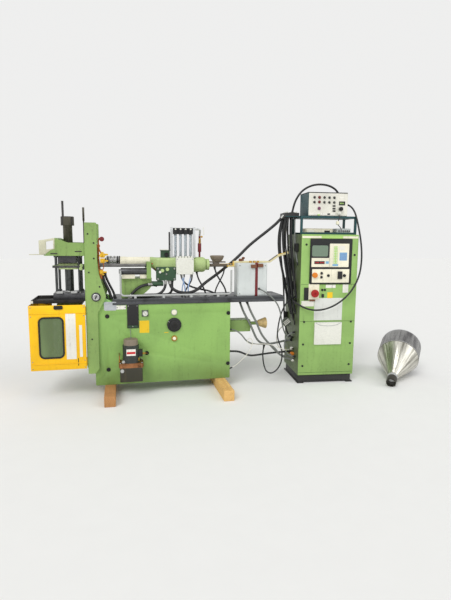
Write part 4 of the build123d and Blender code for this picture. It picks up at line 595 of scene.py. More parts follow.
def turned(profile, colour, sides=28):
    """A turned piece on +Z: a disc extruded and drawn in or out, ring by ring; millimetres."""
    radius, height = profile[0][0] / 1000, profile[0][1] / 1000
    bpy.ops.object.select_all(action="DESELECT")
    bpy.ops.mesh.primitive_circle_add(vertices=sides, radius=radius, fill_type="NGON",
                                      location=(0, 0, height))
    piece = bpy.context.object
    bpy.ops.object.transform_apply(location=True, rotation=False, scale=False)
    bpy.ops.object.mode_set(mode="EDIT")
    bpy.ops.mesh.select_all(action="SELECT")
    for next_radius, next_height in profile[1:]:
        next_radius, next_height = max(next_radius, 0.01) / 1000, next_height / 1000
        bpy.ops.mesh.extrude_region_move(
            TRANSFORM_OT_translate={"value": (0, 0, next_height - height)})
        ratio = next_radius / radius
        bpy.ops.transform.resize(value=(ratio, ratio, 1), center_override=(0, 0, next_height))
        radius, height = next_radius, next_height
    bpy.ops.object.mode_set(mode="OBJECT")
    piece.data.materials.append(finish(colour))
    tidy_mesh(piece)
    return piece


def slab(width, height, depth, colour, corner=3.0, edge=0.8):
    """A plate on +Z with rounded corners and broken edges; millimetres."""
    bpy.ops.object.select_all(action="DESELECT")
    bpy.ops.mesh.primitive_plane_add(size=1)
    piece = bpy.context.object
    piece.scale = (width / 1000, height / 1000, 1)
    bpy.ops.object.transform_apply(location=False, rotation=False, scale=True)
    bpy.ops.object.mode_set(mode="EDIT")
    bpy.ops.mesh.select_all(action="SELECT")
    if corner:
        bpy.ops.mesh.bevel(offset=corner / 1000, segments=CORNER_STEPS, affect="VERTICES")
        bpy.ops.mesh.select_all(action="SELECT")
    bpy.ops.mesh.extrude_region_move(TRANSFORM_OT_translate={"value": (0, 0, depth / 1000)})
    bpy.ops.object.mode_set(mode="OBJECT")
    piece.data.materials.append(finish(colour))
    tidy_mesh(piece, 40)
    if edge:
        apply(piece, "BEVEL", width=edge / 1000, segments=2, limit_method="ANGLE",
              angle_limit=math.radians(50))
    return piece


def join(name, pieces):
    """Makes one named piece of several."""
    only(*pieces)
    if len(pieces) > 1:
        bpy.ops.object.join()
    whole = bpy.context.view_layer.objects.active
    whole.name = name
    whole.data.name = name
    return whole


def copies(piece, places):
    """The piece at each place, each copy with its own mesh."""
    made = []
    for place in places:
        twin = piece.copy()
        twin.data = piece.data.copy()
        bpy.context.scene.collection.objects.link(twin)
        seat(twin, place)
        made.append(twin)
    bpy.data.objects.remove(piece)
    return made


def mount(piece, body="machine", replaces=()):
    """Lets a finished piece ride on its body."""
    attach(piece, body)
    if replaces:
        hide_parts(*replaces)
    return piece


def spline(name, colour, radius, spots, rounds, steps):
    """A round bar of a radius in millimetres along a smooth curve through its control points."""
    curve = bpy.data.curves.new(name, "CURVE")
    curve.dimensions = "3D"
    curve.bevel_depth = radius / 1000
    curve.bevel_resolution = rounds
    curve.resolution_u = steps
    curve.use_fill_caps = True
    line = curve.splines.new("NURBS")
    line.points.add(len(spots) - 1)
    for point, spot in zip(line.points, spots):
        point.co = (*spot, 1.0)
    line.order_u = 3
    line.use_endpoint_u = True
    curve.materials.append(finish(colour))
    piece = bpy.data.objects.new(name, curve)
    bpy.context.scene.collection.objects.link(piece)
    return piece


def cord(name, colour, radius, route, place=Matrix.Identity(4),
         replaces=(), declare=True):
    """A cable along its route in millimetres."""
    spots = [place @ (Vector(spot) / 1000) for spot in route]
    piece = mount(spline(name, colour, radius, spots, rounds=5, steps=8), replaces=replaces)
    if declare:
        2 * radius / 1000


def put(piece, place, *spots):
    """The piece at each spot of a place: a matrix, or what face() takes."""
    return copies(piece, [place @ (spot if isinstance(spot, Matrix) else face(*spot)) for spot in spots])


def face(x, y, z, facing="front", spin=0):
    """A spot in millimetres whose +Z points out of a face; spin is in degrees."""
    return at(x, y, z) @ FACING[facing] @ Matrix.Rotation(math.radians(spin), 4, "Z")


def around(x, y, z, facing, radius, angles):
    """Spots on a circle about a point of a face."""
    return [face(x, y, z, facing, angle) @ at(0, radius, 0) for angle in angles]


def aimed(spot, towards):
    """A spot in millimetres whose +Z points along a direction."""
    return at(*spot) @ Vector(towards).to_track_quat("Z", "Y").to_matrix().to_4x4()


def group(name, *rows, place=MACHINE, body="machine", replaces=()):
    """One piece of several: each row is a shape with its spots, or a shape that is already in place."""
    whole = []
    for row in rows:
        whole += put(row[0], place, *row[1:]) if isinstance(row, tuple) else [row]
    return mount(join(name, whole), body, replaces=replaces)


def plates(rows, place=MACHINE):
    """Small flat pieces: x, y, z, width, height, thickness, finish and corner radius of each."""
    made = []
    for x, y, z, width, height, depth, colour, corner in rows:
        piece = slab(width, height, depth, colour, corner, min(0.8, depth / 3))
        seat(piece, place @ face(x, y, z))
        made.append(piece)
    return made


def hexagon(across, depth, colour):
    """A hexagon nut or bolt head with a turned chamfer."""
    radius = across / math.sqrt(3)
    return turned([(radius * 0.9, 0), (radius, depth * 0.12), (radius, depth * 0.8),
                   (radius * 0.86, depth)], colour, 6)


def ends(route):
    """Both ends of a route, each with its direction into the cable."""
    for start, after in ((route[0], route[1]), (route[-1], route[-2])):
        yield Vector(start), Vector(after) - Vector(start)


def round_head(radius, depth, colour, sides=16):
    """A round screw head or plug with a dished middle."""
    return turned([(radius, 0), (radius, depth * 0.7), (radius * 0.82, depth), (radius * 0.45, depth),
                   (radius * 0.38, depth * 0.5)], colour, sides)


def tube(name, colour, radius, route, place=MACHINE):
    """A rigid bent pipe as a mesh, its route in millimetres."""
    only(spline(name, colour, radius, [Vector(spot) / 1000 for spot in route], rounds=3, steps=6))
    bpy.ops.object.convert(target="MESH")
    pipe = bpy.context.object
    seat(pipe, place)
    tidy_mesh(pipe, 50)
    return pipe


def refined(node, colour, zones=(), place=MACHINE, bevel=1.0, body="machine", smooth=32, cuts=()):
    """A node's own form with merged faces and broken edges, and a finish for each zone of it.

    A zone is a finish with its low and high corner, in the place's millimetres. Cuts are heights on
    the place's +Z at which faces are split, so that a zone can end there.
    """
    piece = bpy.data.objects.new(f"{node}_finished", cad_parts[node].data.copy())
    bpy.context.scene.collection.objects.link(piece)
    piece.data.materials.clear()
    piece.data.materials.append(finish(colour))
    only(piece)
    bpy.ops.object.mode_set(mode="EDIT")
    bpy.ops.mesh.select_all(action="SELECT")
    bpy.ops.mesh.remove_doubles(threshold=MERGE_DISTANCE)
    bpy.ops.mesh.dissolve_limited(angle_limit=math.radians(FLAT_ANGLE))
    for height in cuts:
        bpy.ops.mesh.select_all(action="SELECT")
        bpy.ops.mesh.bisect(plane_co=place @ Vector((0, 0, height / 1000)),
                            plane_no=place.to_3x3() @ Vector((0, 0, 1)))
    bpy.ops.mesh.select_all(action="SELECT")
    bpy.ops.mesh.normals_make_consistent(inside=False)
    bpy.ops.object.mode_set(mode="OBJECT")
    if bevel:
        apply(piece, "BEVEL", width=bevel / 1000, segments=2, limit_method="ANGLE",
              angle_limit=math.radians(40))
    home = place.inverted()
    for number, (zone, low, high) in enumerate(zones, 1):
        piece.data.materials.append(finish(zone))
        for polygon in piece.data.polygons:
            middle = home @ polygon.center * 1000
            if all(low[i] <= middle[i] <= high[i] for i in range(3)):
                polygon.material_index = number
    only(piece)
    bpy.ops.object.shade_smooth_by_angle(angle=math.radians(smooth))
    return mount(piece, body, replaces=[node])


# ---- Operators: the stage and each group of pieces ----
class MachineSizes(bpy.types.PropertyGroup):
    """Sizes that a user may change."""

    lens: FloatProperty(name="Lens", description="Focal length of the camera", default=27.06,
                        min=10, max=100, unit="CAMERA")
    floor_size: FloatProperty(name="Floor", description="Length of the floor's side", default=60.0,
                              min=10, max=200, unit="LENGTH")


class MachineColours(bpy.types.PropertyGroup):
    """Colours that a user may change."""

    floor: FloatVectorProperty(name="Floor", description="Colour of the plain floor", subtype="COLOR",
                               size=4, default=rgb(236, 236, 234), min=0, max=1)


class MACHINE_OT_stage(bpy.types.Operator):
    """Adds the camera, the soft lights and the plain floor"""

    bl_idname = "machine.stage"
    bl_label = "Stage"

    def execute(self, context):
        scene = context.scene
        sizes, colours = scene.machine_sizes, scene.machine_colours
        data = bpy.data.cameras.new("camera")
        data.lens = sizes.lens
        data.sensor_width = SENSOR_WIDTH
        data.clip_end = CAMERA_REACH
        camera = bpy.data.objects.new("camera", data)
        scene.collection.objects.link(camera)
        place = Matrix.Translation(CAMERA_SPOT)
        for angle, axis in CAMERA_TURNS:
            place = place @ Matrix.Rotation(math.radians(angle), 4, axis)
        camera.matrix_world = place
        scene.camera = camera
        for name, aim, spread, power in SUNS:
            lamp = bpy.data.lights.new(name, "SUN")
            lamp.angle = math.radians(spread)
            lamp.energy = power
            light = bpy.data.objects.new(name, lamp)
            light.rotation_mode = "QUATERNION"
            light.rotation_quaternion = Vector(aim).to_track_quat("-Z", "Y")
            scene.collection.objects.link(light)
        bpy.ops.object.select_all(action="DESELECT")
        bpy.ops.mesh.primitive_plane_add(size=sizes.floor_size, location=(0, 0, 0))
        floor = bpy.context.object
        floor.name = "floor"
        recipe = Recipe("floor", Roughness=0.9, Specular_IOR_Level=0.1)
        recipe.feed("Base Color", recipe.mix(shade(colours.floor, 0.97), tuple(colours.floor),
                                             recipe.noise(6, 3)))
        floor.data.materials.append(recipe.material)
        world = bpy.data.worlds.new("studio")
        world.use_nodes = True
        scene.world = world
        nodes, links = world.node_tree.nodes, world.node_tree.links
        sky, seen = nodes["Background"], nodes.new("ShaderNodeBackground")
        sky.inputs["Color"].default_value = (1, 1, 1, 1)
        sky.inputs["Strength"].default_value = SKY_POWER
        seen.inputs["Color"].default_value = SEEN_SKY
        ways = nodes.new("ShaderNodeLightPath")
        share = ways.outputs["Is Camera Ray"]
        for kind in ("Is Glossy Ray", "Is Transmission Ray"):
            greater = nodes.new("ShaderNodeMath")
            greater.operation = "MAXIMUM"
            links.new(share, greater.inputs[0])
            links.new(ways.outputs[kind], greater.inputs[1])
            share = greater.outputs[0]
        blend = nodes.new("ShaderNodeMixShader")
        for number, source in enumerate((share, sky.outputs[0], seen.outputs[0])):
            links.new(source, blend.inputs[number])
        links.new(blend.outputs[0], nodes["World Output"].inputs["Surface"])
        scene.view_settings.view_transform = "Standard"
        return {"FINISHED"}


class MACHINE_OT_nodes(bpy.types.Operator):
    """Gives the nodes that show as they are their finishes"""

    bl_idname = "machine.nodes"
    bl_label = "Frame finishes"

    def execute(self, context):
        for colour, nodes in NODE_FINISH.items():
            for node in nodes:
                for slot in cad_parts[node].material_slots:
                    slot.material = finish(colour)
        return {"FINISHED"}


class MACHINE_OT_cords(bpy.types.Operator):
    """Adds the hoses and cables along their routes"""

    bl_idname = "machine.cords"
    bl_label = "Hoses and cables"

    def execute(self, context):
        for node, (colour, radius, stiffness, runs) in CORDS.items():
            for number, (length, route) in enumerate(runs, 1):
                cord(f"{node}_{number}", colour, radius, route,
                     replaces=[node] if number == 1 else ())
        for number, (radius, length, route) in enumerate(LOOM, 1):
            cord(f"loom_cable_{number}", "cable_black", radius, route, place=CABINET,
                 replaces=["side_loom"] if number == 1 else ())
        for name, place, colour, radius, length, route in LEADS:
            cord(name, colour, radius, route, place=place, declare=length > SHORTEST_LEAD)
        return {"FINISHED"}


class MACHINE_OT_clamp(bpy.types.Operator):
    """Adds the clamp's plates, valves, nuts and pipes"""

    bl_idname = "machine.clamp"
    bl_label = "Clamp"

    def execute(self, context):
        # The mould plates take a green lightened as painted light.
        refined("moving_platen", "plate_green", [("oiled_steel", (-400, 0, 1224.5), (0, 400, 1241.5))],
            body="platen")
        refined("arm_cylinders", "column_steel", [("knurled_steel", (-300, 0, 1655), (-120, 400, 1780))])
        refined("pivot_shaft", "oiled_steel", [("bright_steel", (-8, -50, 920), (60, -44.5, 995))])
        refined("end_bracket", "worn_cream", [("light_green", (-400, -10, 1340), (-300, 60, 1375))])
        refined("lower_platen", "oiled_steel")
        refined("drip_tray", "tray_steel")
        group("pivot_ring",
            (turned([(30, 0), (30, 3), (27, 5), (20, 5), (18, 2), (10, 2), (9, 0.5)], "bright_steel", 32),
                (26, -45, 957)), (slab(12, 40, 3, "oiled_steel", 2), (26, -46, 957, "front", -24)))
        # Black discs for the holes in the cheeks: painted shade inside the holes.
        group("cheek_hole_shades",
            (round_head(7.5, 3.5, "black_plastic"), *((x, -27, z) for x, z in ((-32, 1536), (16, 1313),
                (-32, 1185), (18, 1454), (-20, 560), (60, 1052)))))
        group("tie_bar_nuts",
            (hexagon(30, 13, "screw_zinc"), *((x, y, 985, "up") for x in (-335, -117) for y in (83, 317))))
        group("ram_wiper",
            (turned([(46, 0), (46, 8), (43, 12), (37, 12), (36, 2)], "bright_steel", 32),
                (-226, 200, 985, "up")))
        group("platen_guides", (slab(44, 52, 26, "oiled_steel", 4), (-98, 60, 1232)),
            (turned([(16, 0), (16, 14), (13, 18), (7, 18), (6, 15)], "light_green", 20), (-98, 36, 1246),
                (-104, 36, 1218)), body="platen")
        group("clamp_valves", (slab(42, 40, 32, "brass_yellow", 5, 2), (92, 6, 1340), (92, 6, 1292)),
            (slab(32, 36, 28, "brass_yellow", 5, 2), (80, 2, 1186)),
            (hexagon(24, 12, "brass_yellow"), (78, -26, 1340), (106, -26, 1340), (92, -26, 1292),
                (80, -26, 1186), (92, -8, 1361, "up"), (92, -8, 1170, "down")),
            (turned([(9, 0), (9, 16), (7, 20), (7, 30), (4, 31)], "brass_yellow", 16),
                (112, -8, 1348, "right"), (112, -8, 1290, "right"), (96, -8, 1186, "right")))
        group("shut_off_valve",
            (turned([(8, 0), (8, 22), (12, 24), (12, 32)], "copper", 16), (84, 26, 1490)),
            (turned([(20, 0), (22, 4), (22, 16), (17, 22), (8, 24)], "red_paint", 24), (90, -4, 1490)))
        group("clamp_pipes",
            tube("copper_run", "copper", 7, [(84, 10, 1496), (62, 8, 1500), (58, 6, 1470), (60, 6, 1400),
                (74, 4, 1372), (84, 2, 1356)]),
            tube("thin_run", "copper", 4, [(92, -8, 1280), (104, -6, 1250), (98, -4, 1216),
                (84, -6, 1200)]))
        group("tray_corner", (slab(24, 24, 3, "white_plastic", 3), (-535, -20, 920)))
        group("platen_rims", (slab(56, 20, 44, "bright_steel", 3), (-303, 100, 995), (-176, 100, 995)))
        # Black plates for the arm's slots: painted shade inside the slots.
        group("arm_slots", (slab(60, 10, 2, "black_paint", 4), (-330, -2, 1356), (-120, -2, 1376)))
        return {"FINISHED"}


class MACHINE_OT_guard(bpy.types.Operator):
    """Adds the guard's pressed folds, blank plates and screws"""

    bl_idname = "machine.guard"
    bl_label = "Guard"

    def execute(self, context):
        sheet = -48  # y of the guard's outer face
        refined("guard_hood", "guard_yellow", body="guard", bevel=1.6)
        group("guard_folds",
            (slab(482, 9, 5, "guard_yellow", 2, 2), (-317, -47.6, 816), (-317, -47.6, 345)), body="guard")
        group("guard_plates",
            *plates([(-205, sheet, 601, 88, 434, 0.8, "blank_label", 3),
                (-119, sheet, 552, 26, 300, 0.8, "blank_label", 2),
                # The black strip stands for a slot in the guard: painted shade inside the slot.
                (-147, sheet, 356, 6, 72, 1.2, "black_rubber", 2)]), body="guard")
        group("guard_rivets",
            (round_head(5, 2.4, "screw_zinc"), *((x, sheet, z) for x in (-546, -88)
                for z in (304, 370, 790, 872))), body="guard")
        return {"FINISHED"}


class MACHINE_OT_base(bpy.types.Operator):
    """Adds the base's gauge, adjusters, flap, plugs, pump and plates"""

    bl_idname = "machine.base"
    bl_label = "Base"

    def execute(self, context):
        refined("base_cabinet", "green_paint", bevel=2.0)
        refined("front_fittings", "black_plastic",
            [("gauge_grey", (430, -6, 750), (510, 1, 830)),
                ("bright_steel", (440, -40, 755), (505, -5.2, 825)),
                ("bright_steel", (715, -40, 756), (785, 1, 826)), ("brass", (715, -40, 498), (785, 1, 568)),
                ("dark_green", (300, -10, 600), (415, 1, 700))])
        group("port_plugs",
            (round_head(18.5, 6, "black_rubber", 28), *((x, 0.5, z) for x, z in ((120, 768), (120, 251),
                (484, 397), (1293, 768), (1293, 251)))))
        group("gauge_face", (turned([(21, 0), (21, 1.2), (20, 1.6)], "white_plastic", 32), (472, -29, 788)),
            (slab(2.2, 26, 1, "panel_black", 1), (470, -31, 791, "front", 35)),
            (slab(1.4, 5, 0.5, "panel_black", 0, 0),
                *around(472, -30.8, 788, "front", 16, range(-120, 121, 30))),
            (round_head(3.6, 2, "black_plastic", 12),
                *((x, -5, z) for x in (447, 497) for z in (763, 813))))
        group("adjuster_faces",
            (turned([(23, 0), (23, 2), (20, 4), (10, 4.5)], "cream_paint", 32), (750, -14, 791)),
            (turned([(16, 0), (16, 2), (14, 4), (8, 4.5)], "cream_paint", 32), (750, -14, 533)))
        group("knob_grip",
            (slab(3, 5, 20, "black_plastic", 1), *around(750, -19, 668, "front", 46, range(0, 360, 15))),
            (turned([(30, 0), (30, 3), (27, 5), (12, 5), (10, 2)], "black_rubber", 32), (750, -40, 668)),
            (slab(3, 16, 1, "white_plastic", 0.8), *around(750, -18, 668, "front", 60, (58,))))
        group("base_plates",
            *plates([(464, 0, 657, 92, 120, 0.9, "blank_yellow", 3),
                (150, 0, 864, 116, 84, 0.8, "bare_patch", 14), (250, 0, 850, 86, 38, 1.6, "blank_label", 3),
                (674, 0, 593, 40, 7, 1.5, "blank_yellow", 2),
                (355, -7, 664, 90, 20, 1.4, "dark_green", 3)]))
        group("base_screws",
            (round_head(5.5, 3, "screw_zinc"), (355, -8.4, 664), (316, -7, 862), (398, -7, 862),
                (214, -1.6, 850), (286, -1.6, 850)))
        refined("lubrication_pump", "tank_black",
            [("worn_copper", (200, -200, 301), (460, 1, 343)),
                ("pump_motor", (200, -200, 343), (420, 1, 508)),
                ("cap_grey", (200, -200, 508), (420, 1, 570)),
                ("black_plastic", (400, -200, 380), (470, 1, 470))])
        group("pump_fittings",
            (hexagon(13, 7, "screw_zinc"), *((x, y, 343, "up") for x in (232, 430) for y in (-150, -22))),
            (turned([(17, 0), (17, 10), (14, 13), (14, 20), (9, 22)], "grey_rubber", 24), (248, -164, 277),
                (262, -124, 343, "up")),
            (turned([(9, 0), (9, 12), (7, 13), (7, 26)], "brass", 16), (401, -120, 360, "up"),
                (225, -90, 343, "up"), (439, -110, 424, "right")),
            (turned([(77.4, 0), (77.4, 2.4), (76, 4)], "pump_motor", 48),
                *((331, -82, z, "up") for z in (362, 376, 390, 496))))
        group("pump_plate", (slab(84, 62, 1.6, "blank_label", 3), (331, -159.4, 448)),
            (slab(78, 22, 0.8, "blank_red", 1), (331, -160.6, 444)))
        group("lubrication_lines",
            tube("feed_line", "cable_grey", 3, [(328, -6, 650), (331, -12, 618), (334, -40, 590),
                (333, -70, 574), (331, -80, 562)]),
            tube("oil_line", "copper", 4, [(439, -110, 424), (470, -108, 424), (484, -70, 410),
                (484, -20, 398), (484, 6, 397)]),
            tube("return_line", "copper", 4, [(225, -90, 364), (224, -84, 396), (222, -40, 410),
                (222, 2, 408)]))
        refined("timbers", "timber_wood", bevel=2.5)
        return {"FINISHED"}


class MACHINE_OT_injection(bpy.types.Operator):
    """Adds the heater bands, valves and pipes of the injection unit"""

    bl_idname = "machine.injection"
    bl_label = "Injection unit"

    def execute(self, context):
        refined("injection_casting", "light_green",
            [("dark_green", (636, 105, 1316), (744, 300, 1390)),
                ("rust_brown", (536, 100, 1160), (600, 300, 1215))])
        refined("carriage_cylinder", "oiled_steel", [("cream_paint", (230, 0, 1110), (500, 120, 1152))])
        refined("barrel_shield", "cream_paint", [("rust_brown", (240, 100, 1228), (540, 300, 1242))])
        refined("distribution_box", "white_plastic")
        refined("valve_block", "dark_green")
        refined("bed", "bed_finish", bevel=1.5)
        refined("hydraulic_block", "clamp_green",
            [("breather_tan", (1640, 100, 540), (1760, 300, 680)),
                ("black_paint", (1560, 100, 590), (1600, 300, 640))])
        refined("drain_pipe", "post_steel", [("red_paint", (1014, 178, 1369), (1054, 222, 1456))])
        refined("cable_arm", "cable_bar",
            [("arm_cream", (1300, 100, 1200), (1850, 300, 1300)),
                ("arm_yellow", (1840, 100, 1255), (1970, 300, 1380)),
                ("arm_yellow", (1300, 100, 1200), (1392, 300, 1300)),
                ("cap_grey", (1130, 120, 1262), (1292, 280, 1335))])
        refined("terminal_box", "grey_box_paint",
            [("red_paint", (1566, 10, 925), (1603, 24.5, 1272)),
                ("brass", (1500, 20, 1263), (1660, 120, 1290))])
        refined("guide_rods", "rod_steel", [("bright_steel", (-25, -5, 1210), (240, 60, 1280))])
        group("heater_bands",
            (turned([(34.5, 0), (36, 2), (36, 26), (34.5, 28)], "bright_steel", 32),
                *((x, 200, 1291, "right") for x in (148, 184))),
            (turned([(35, 0), (37, 2), (37, 12), (35, 14)], "black_paint", 32),
                *((x, 200, 1291, "right") for x in (128, 218, 236))),
            (slab(12, 16, 14, "screw_zinc", 2), (162, 170, 1322), (198, 170, 1322)))
        group("charging_lid", (slab(78, 110, 7, "white_plastic", 6), (678, 200, 1387, "up")),
            (turned([(21, 0), (21, 5), (17, 6), (15, 1)], "black_rubber", 32), (696, 149.6, 1342)))
        group("dome_flange",
            (turned([(58, 0), (58, 8), (54, 11), (48, 11)], "clamp_green", 48), (1062, 200, 1232, "right")),
            (hexagon(11, 6, "screw_zinc"), *around(1074, 200, 1232, "right", 51, range(0, 360, 45))))
        group("unit_caps", (turned([(7, 0), (7, 4), (5, 5)], "blank_red", 16), (552, 110, 1256)),
            (turned([(17, 0), (17, 9), (14, 12), (6, 12)], "light_green", 24), (646, 54, 1192),
                (694, 54, 1204)),
            (turned([(12, 0), (12, 10), (8, 12)], "white_plastic", 20), (624, 53, 1178)))
        group("unit_screws",
            (round_head(4.5, 2.5, "screw_zinc"), *((x, 35, z) for x in (790, 939) for z in (1166, 1303))),
            (hexagon(17, 8, "screw_zinc"), *((x, 54, z) for x, z in ((604, 1110), (604, 1210), (762, 1110),
                (762, 1210), (684, 1158)))),
            (round_head(5, 3, "screw_zinc"), (262, 28, 1126), (486, 28, 1126)))
        return {"FINISHED"}


class MACHINE_OT_meters(bpy.types.Operator):
    """Adds the four flow meters and their rack"""

    bl_idname = "machine.meters"
    bl_label = "Flow meters"

    def execute(self, context):
        refined("meter_frame", "post_steel", [("black_plastic", (750, 130, 1543), (970, 190, 1606))])
        refined("meter_tubes", "glass_tube", bevel=0)
        columns = (785, 835, 885, 935)
        group("meter_heads",
            (turned([(8, 0), (8, 7), (6, 9), (3, 9)], "white_plastic", 16),
                *((x, 140, 1592) for x in columns)),
            (turned([(14, 0), (14, 8), (11, 10), (11, 14)], "black_plastic", 20),
                *((x, 160, 1543, "down") for x in columns), *((x, 160, 1322, "up") for x in columns)))
        group("meter_insides",
            (turned([(4.5, 0), (4.5, 210), (4, 212)], "meter_blue", 10),
                *((x, 160, 1330, "up") for x in columns)),
            (turned([(6, 0), (9, 6), (9, 16), (5, 22)], "black_plastic", 14), *((x, 160, z, "up")
                for x, z in zip(columns, (1352, 1340, 1366, 1344)))))
        group("meter_scales",
            (slab(2.4, 200, 1.2, "panel_black", 0.5), *((x + 12, 143, 1436) for x in columns)),
            (slab(7, 1.2, 0.6, "panel_black", 0, 0), *((x + 8, 142.6, z) for x in columns
                for z in range(1350, 1531, 20))))
        group("meter_stay", (slab(14, 176, 12, "black_paint", 3), (726, 166, 1476)))
        group("drain_tap",
            (turned([(12, 0), (12, 16), (9, 18), (9, 26)], "brass", 20), (1034, 184, 1480, "up"),
                (1034, 184, 1478, "down")),
            (turned([(10, 0), (10, 14), (7, 16)], "brass", 16), (1050, 176, 1520)),
            (slab(9, 80, 5, "white_plastic", 4), (1068, 162, 1576, "front", 3)))
        return {"FINISHED"}


class MACHINE_OT_terminal_box(bpy.types.Operator):
    """Adds the terminal box's lid, screws, glands and the arm's clamps"""

    bl_idname = "machine.terminal_box"
    bl_label = "Terminal box"

    def execute(self, context):
        group("box_lid", (slab(292, 312, 5, "grey_box_paint", 8, 2), (1544, 24, 1097)),
            (round_head(6, 3, "screw_zinc"), *((x, 19, z) for x in (1412, 1676) for z in (956, 1238))))
        group("box_fittings",
            (hexagon(22, 10, "black_plastic"), *((x, 84, 1262, "up") for x in (1539, 1579, 1617))),
            (slab(54, 34, 22, "rust_brown", 5, 2), (1552, 20, 1232), (1622, 20, 1240)),
            (turned([(5, 0), (5, 16), (15, 20), (17, 30), (12, 38), (5, 40)], "rust_brown", 24),
                (1480, 150, 1280, "up")), (slab(40, 26, 16, "rust_brown", 4, 2), (1448, 140, 1290)))
        group("arm_bolts",
            (hexagon(15, 8, "screw_zinc"), *((x, 150, z)
                for x, z in ((1320, 1240), (1350, 1240), (1392, 1268), (1880, 1340)))))
        return {"FINISHED"}


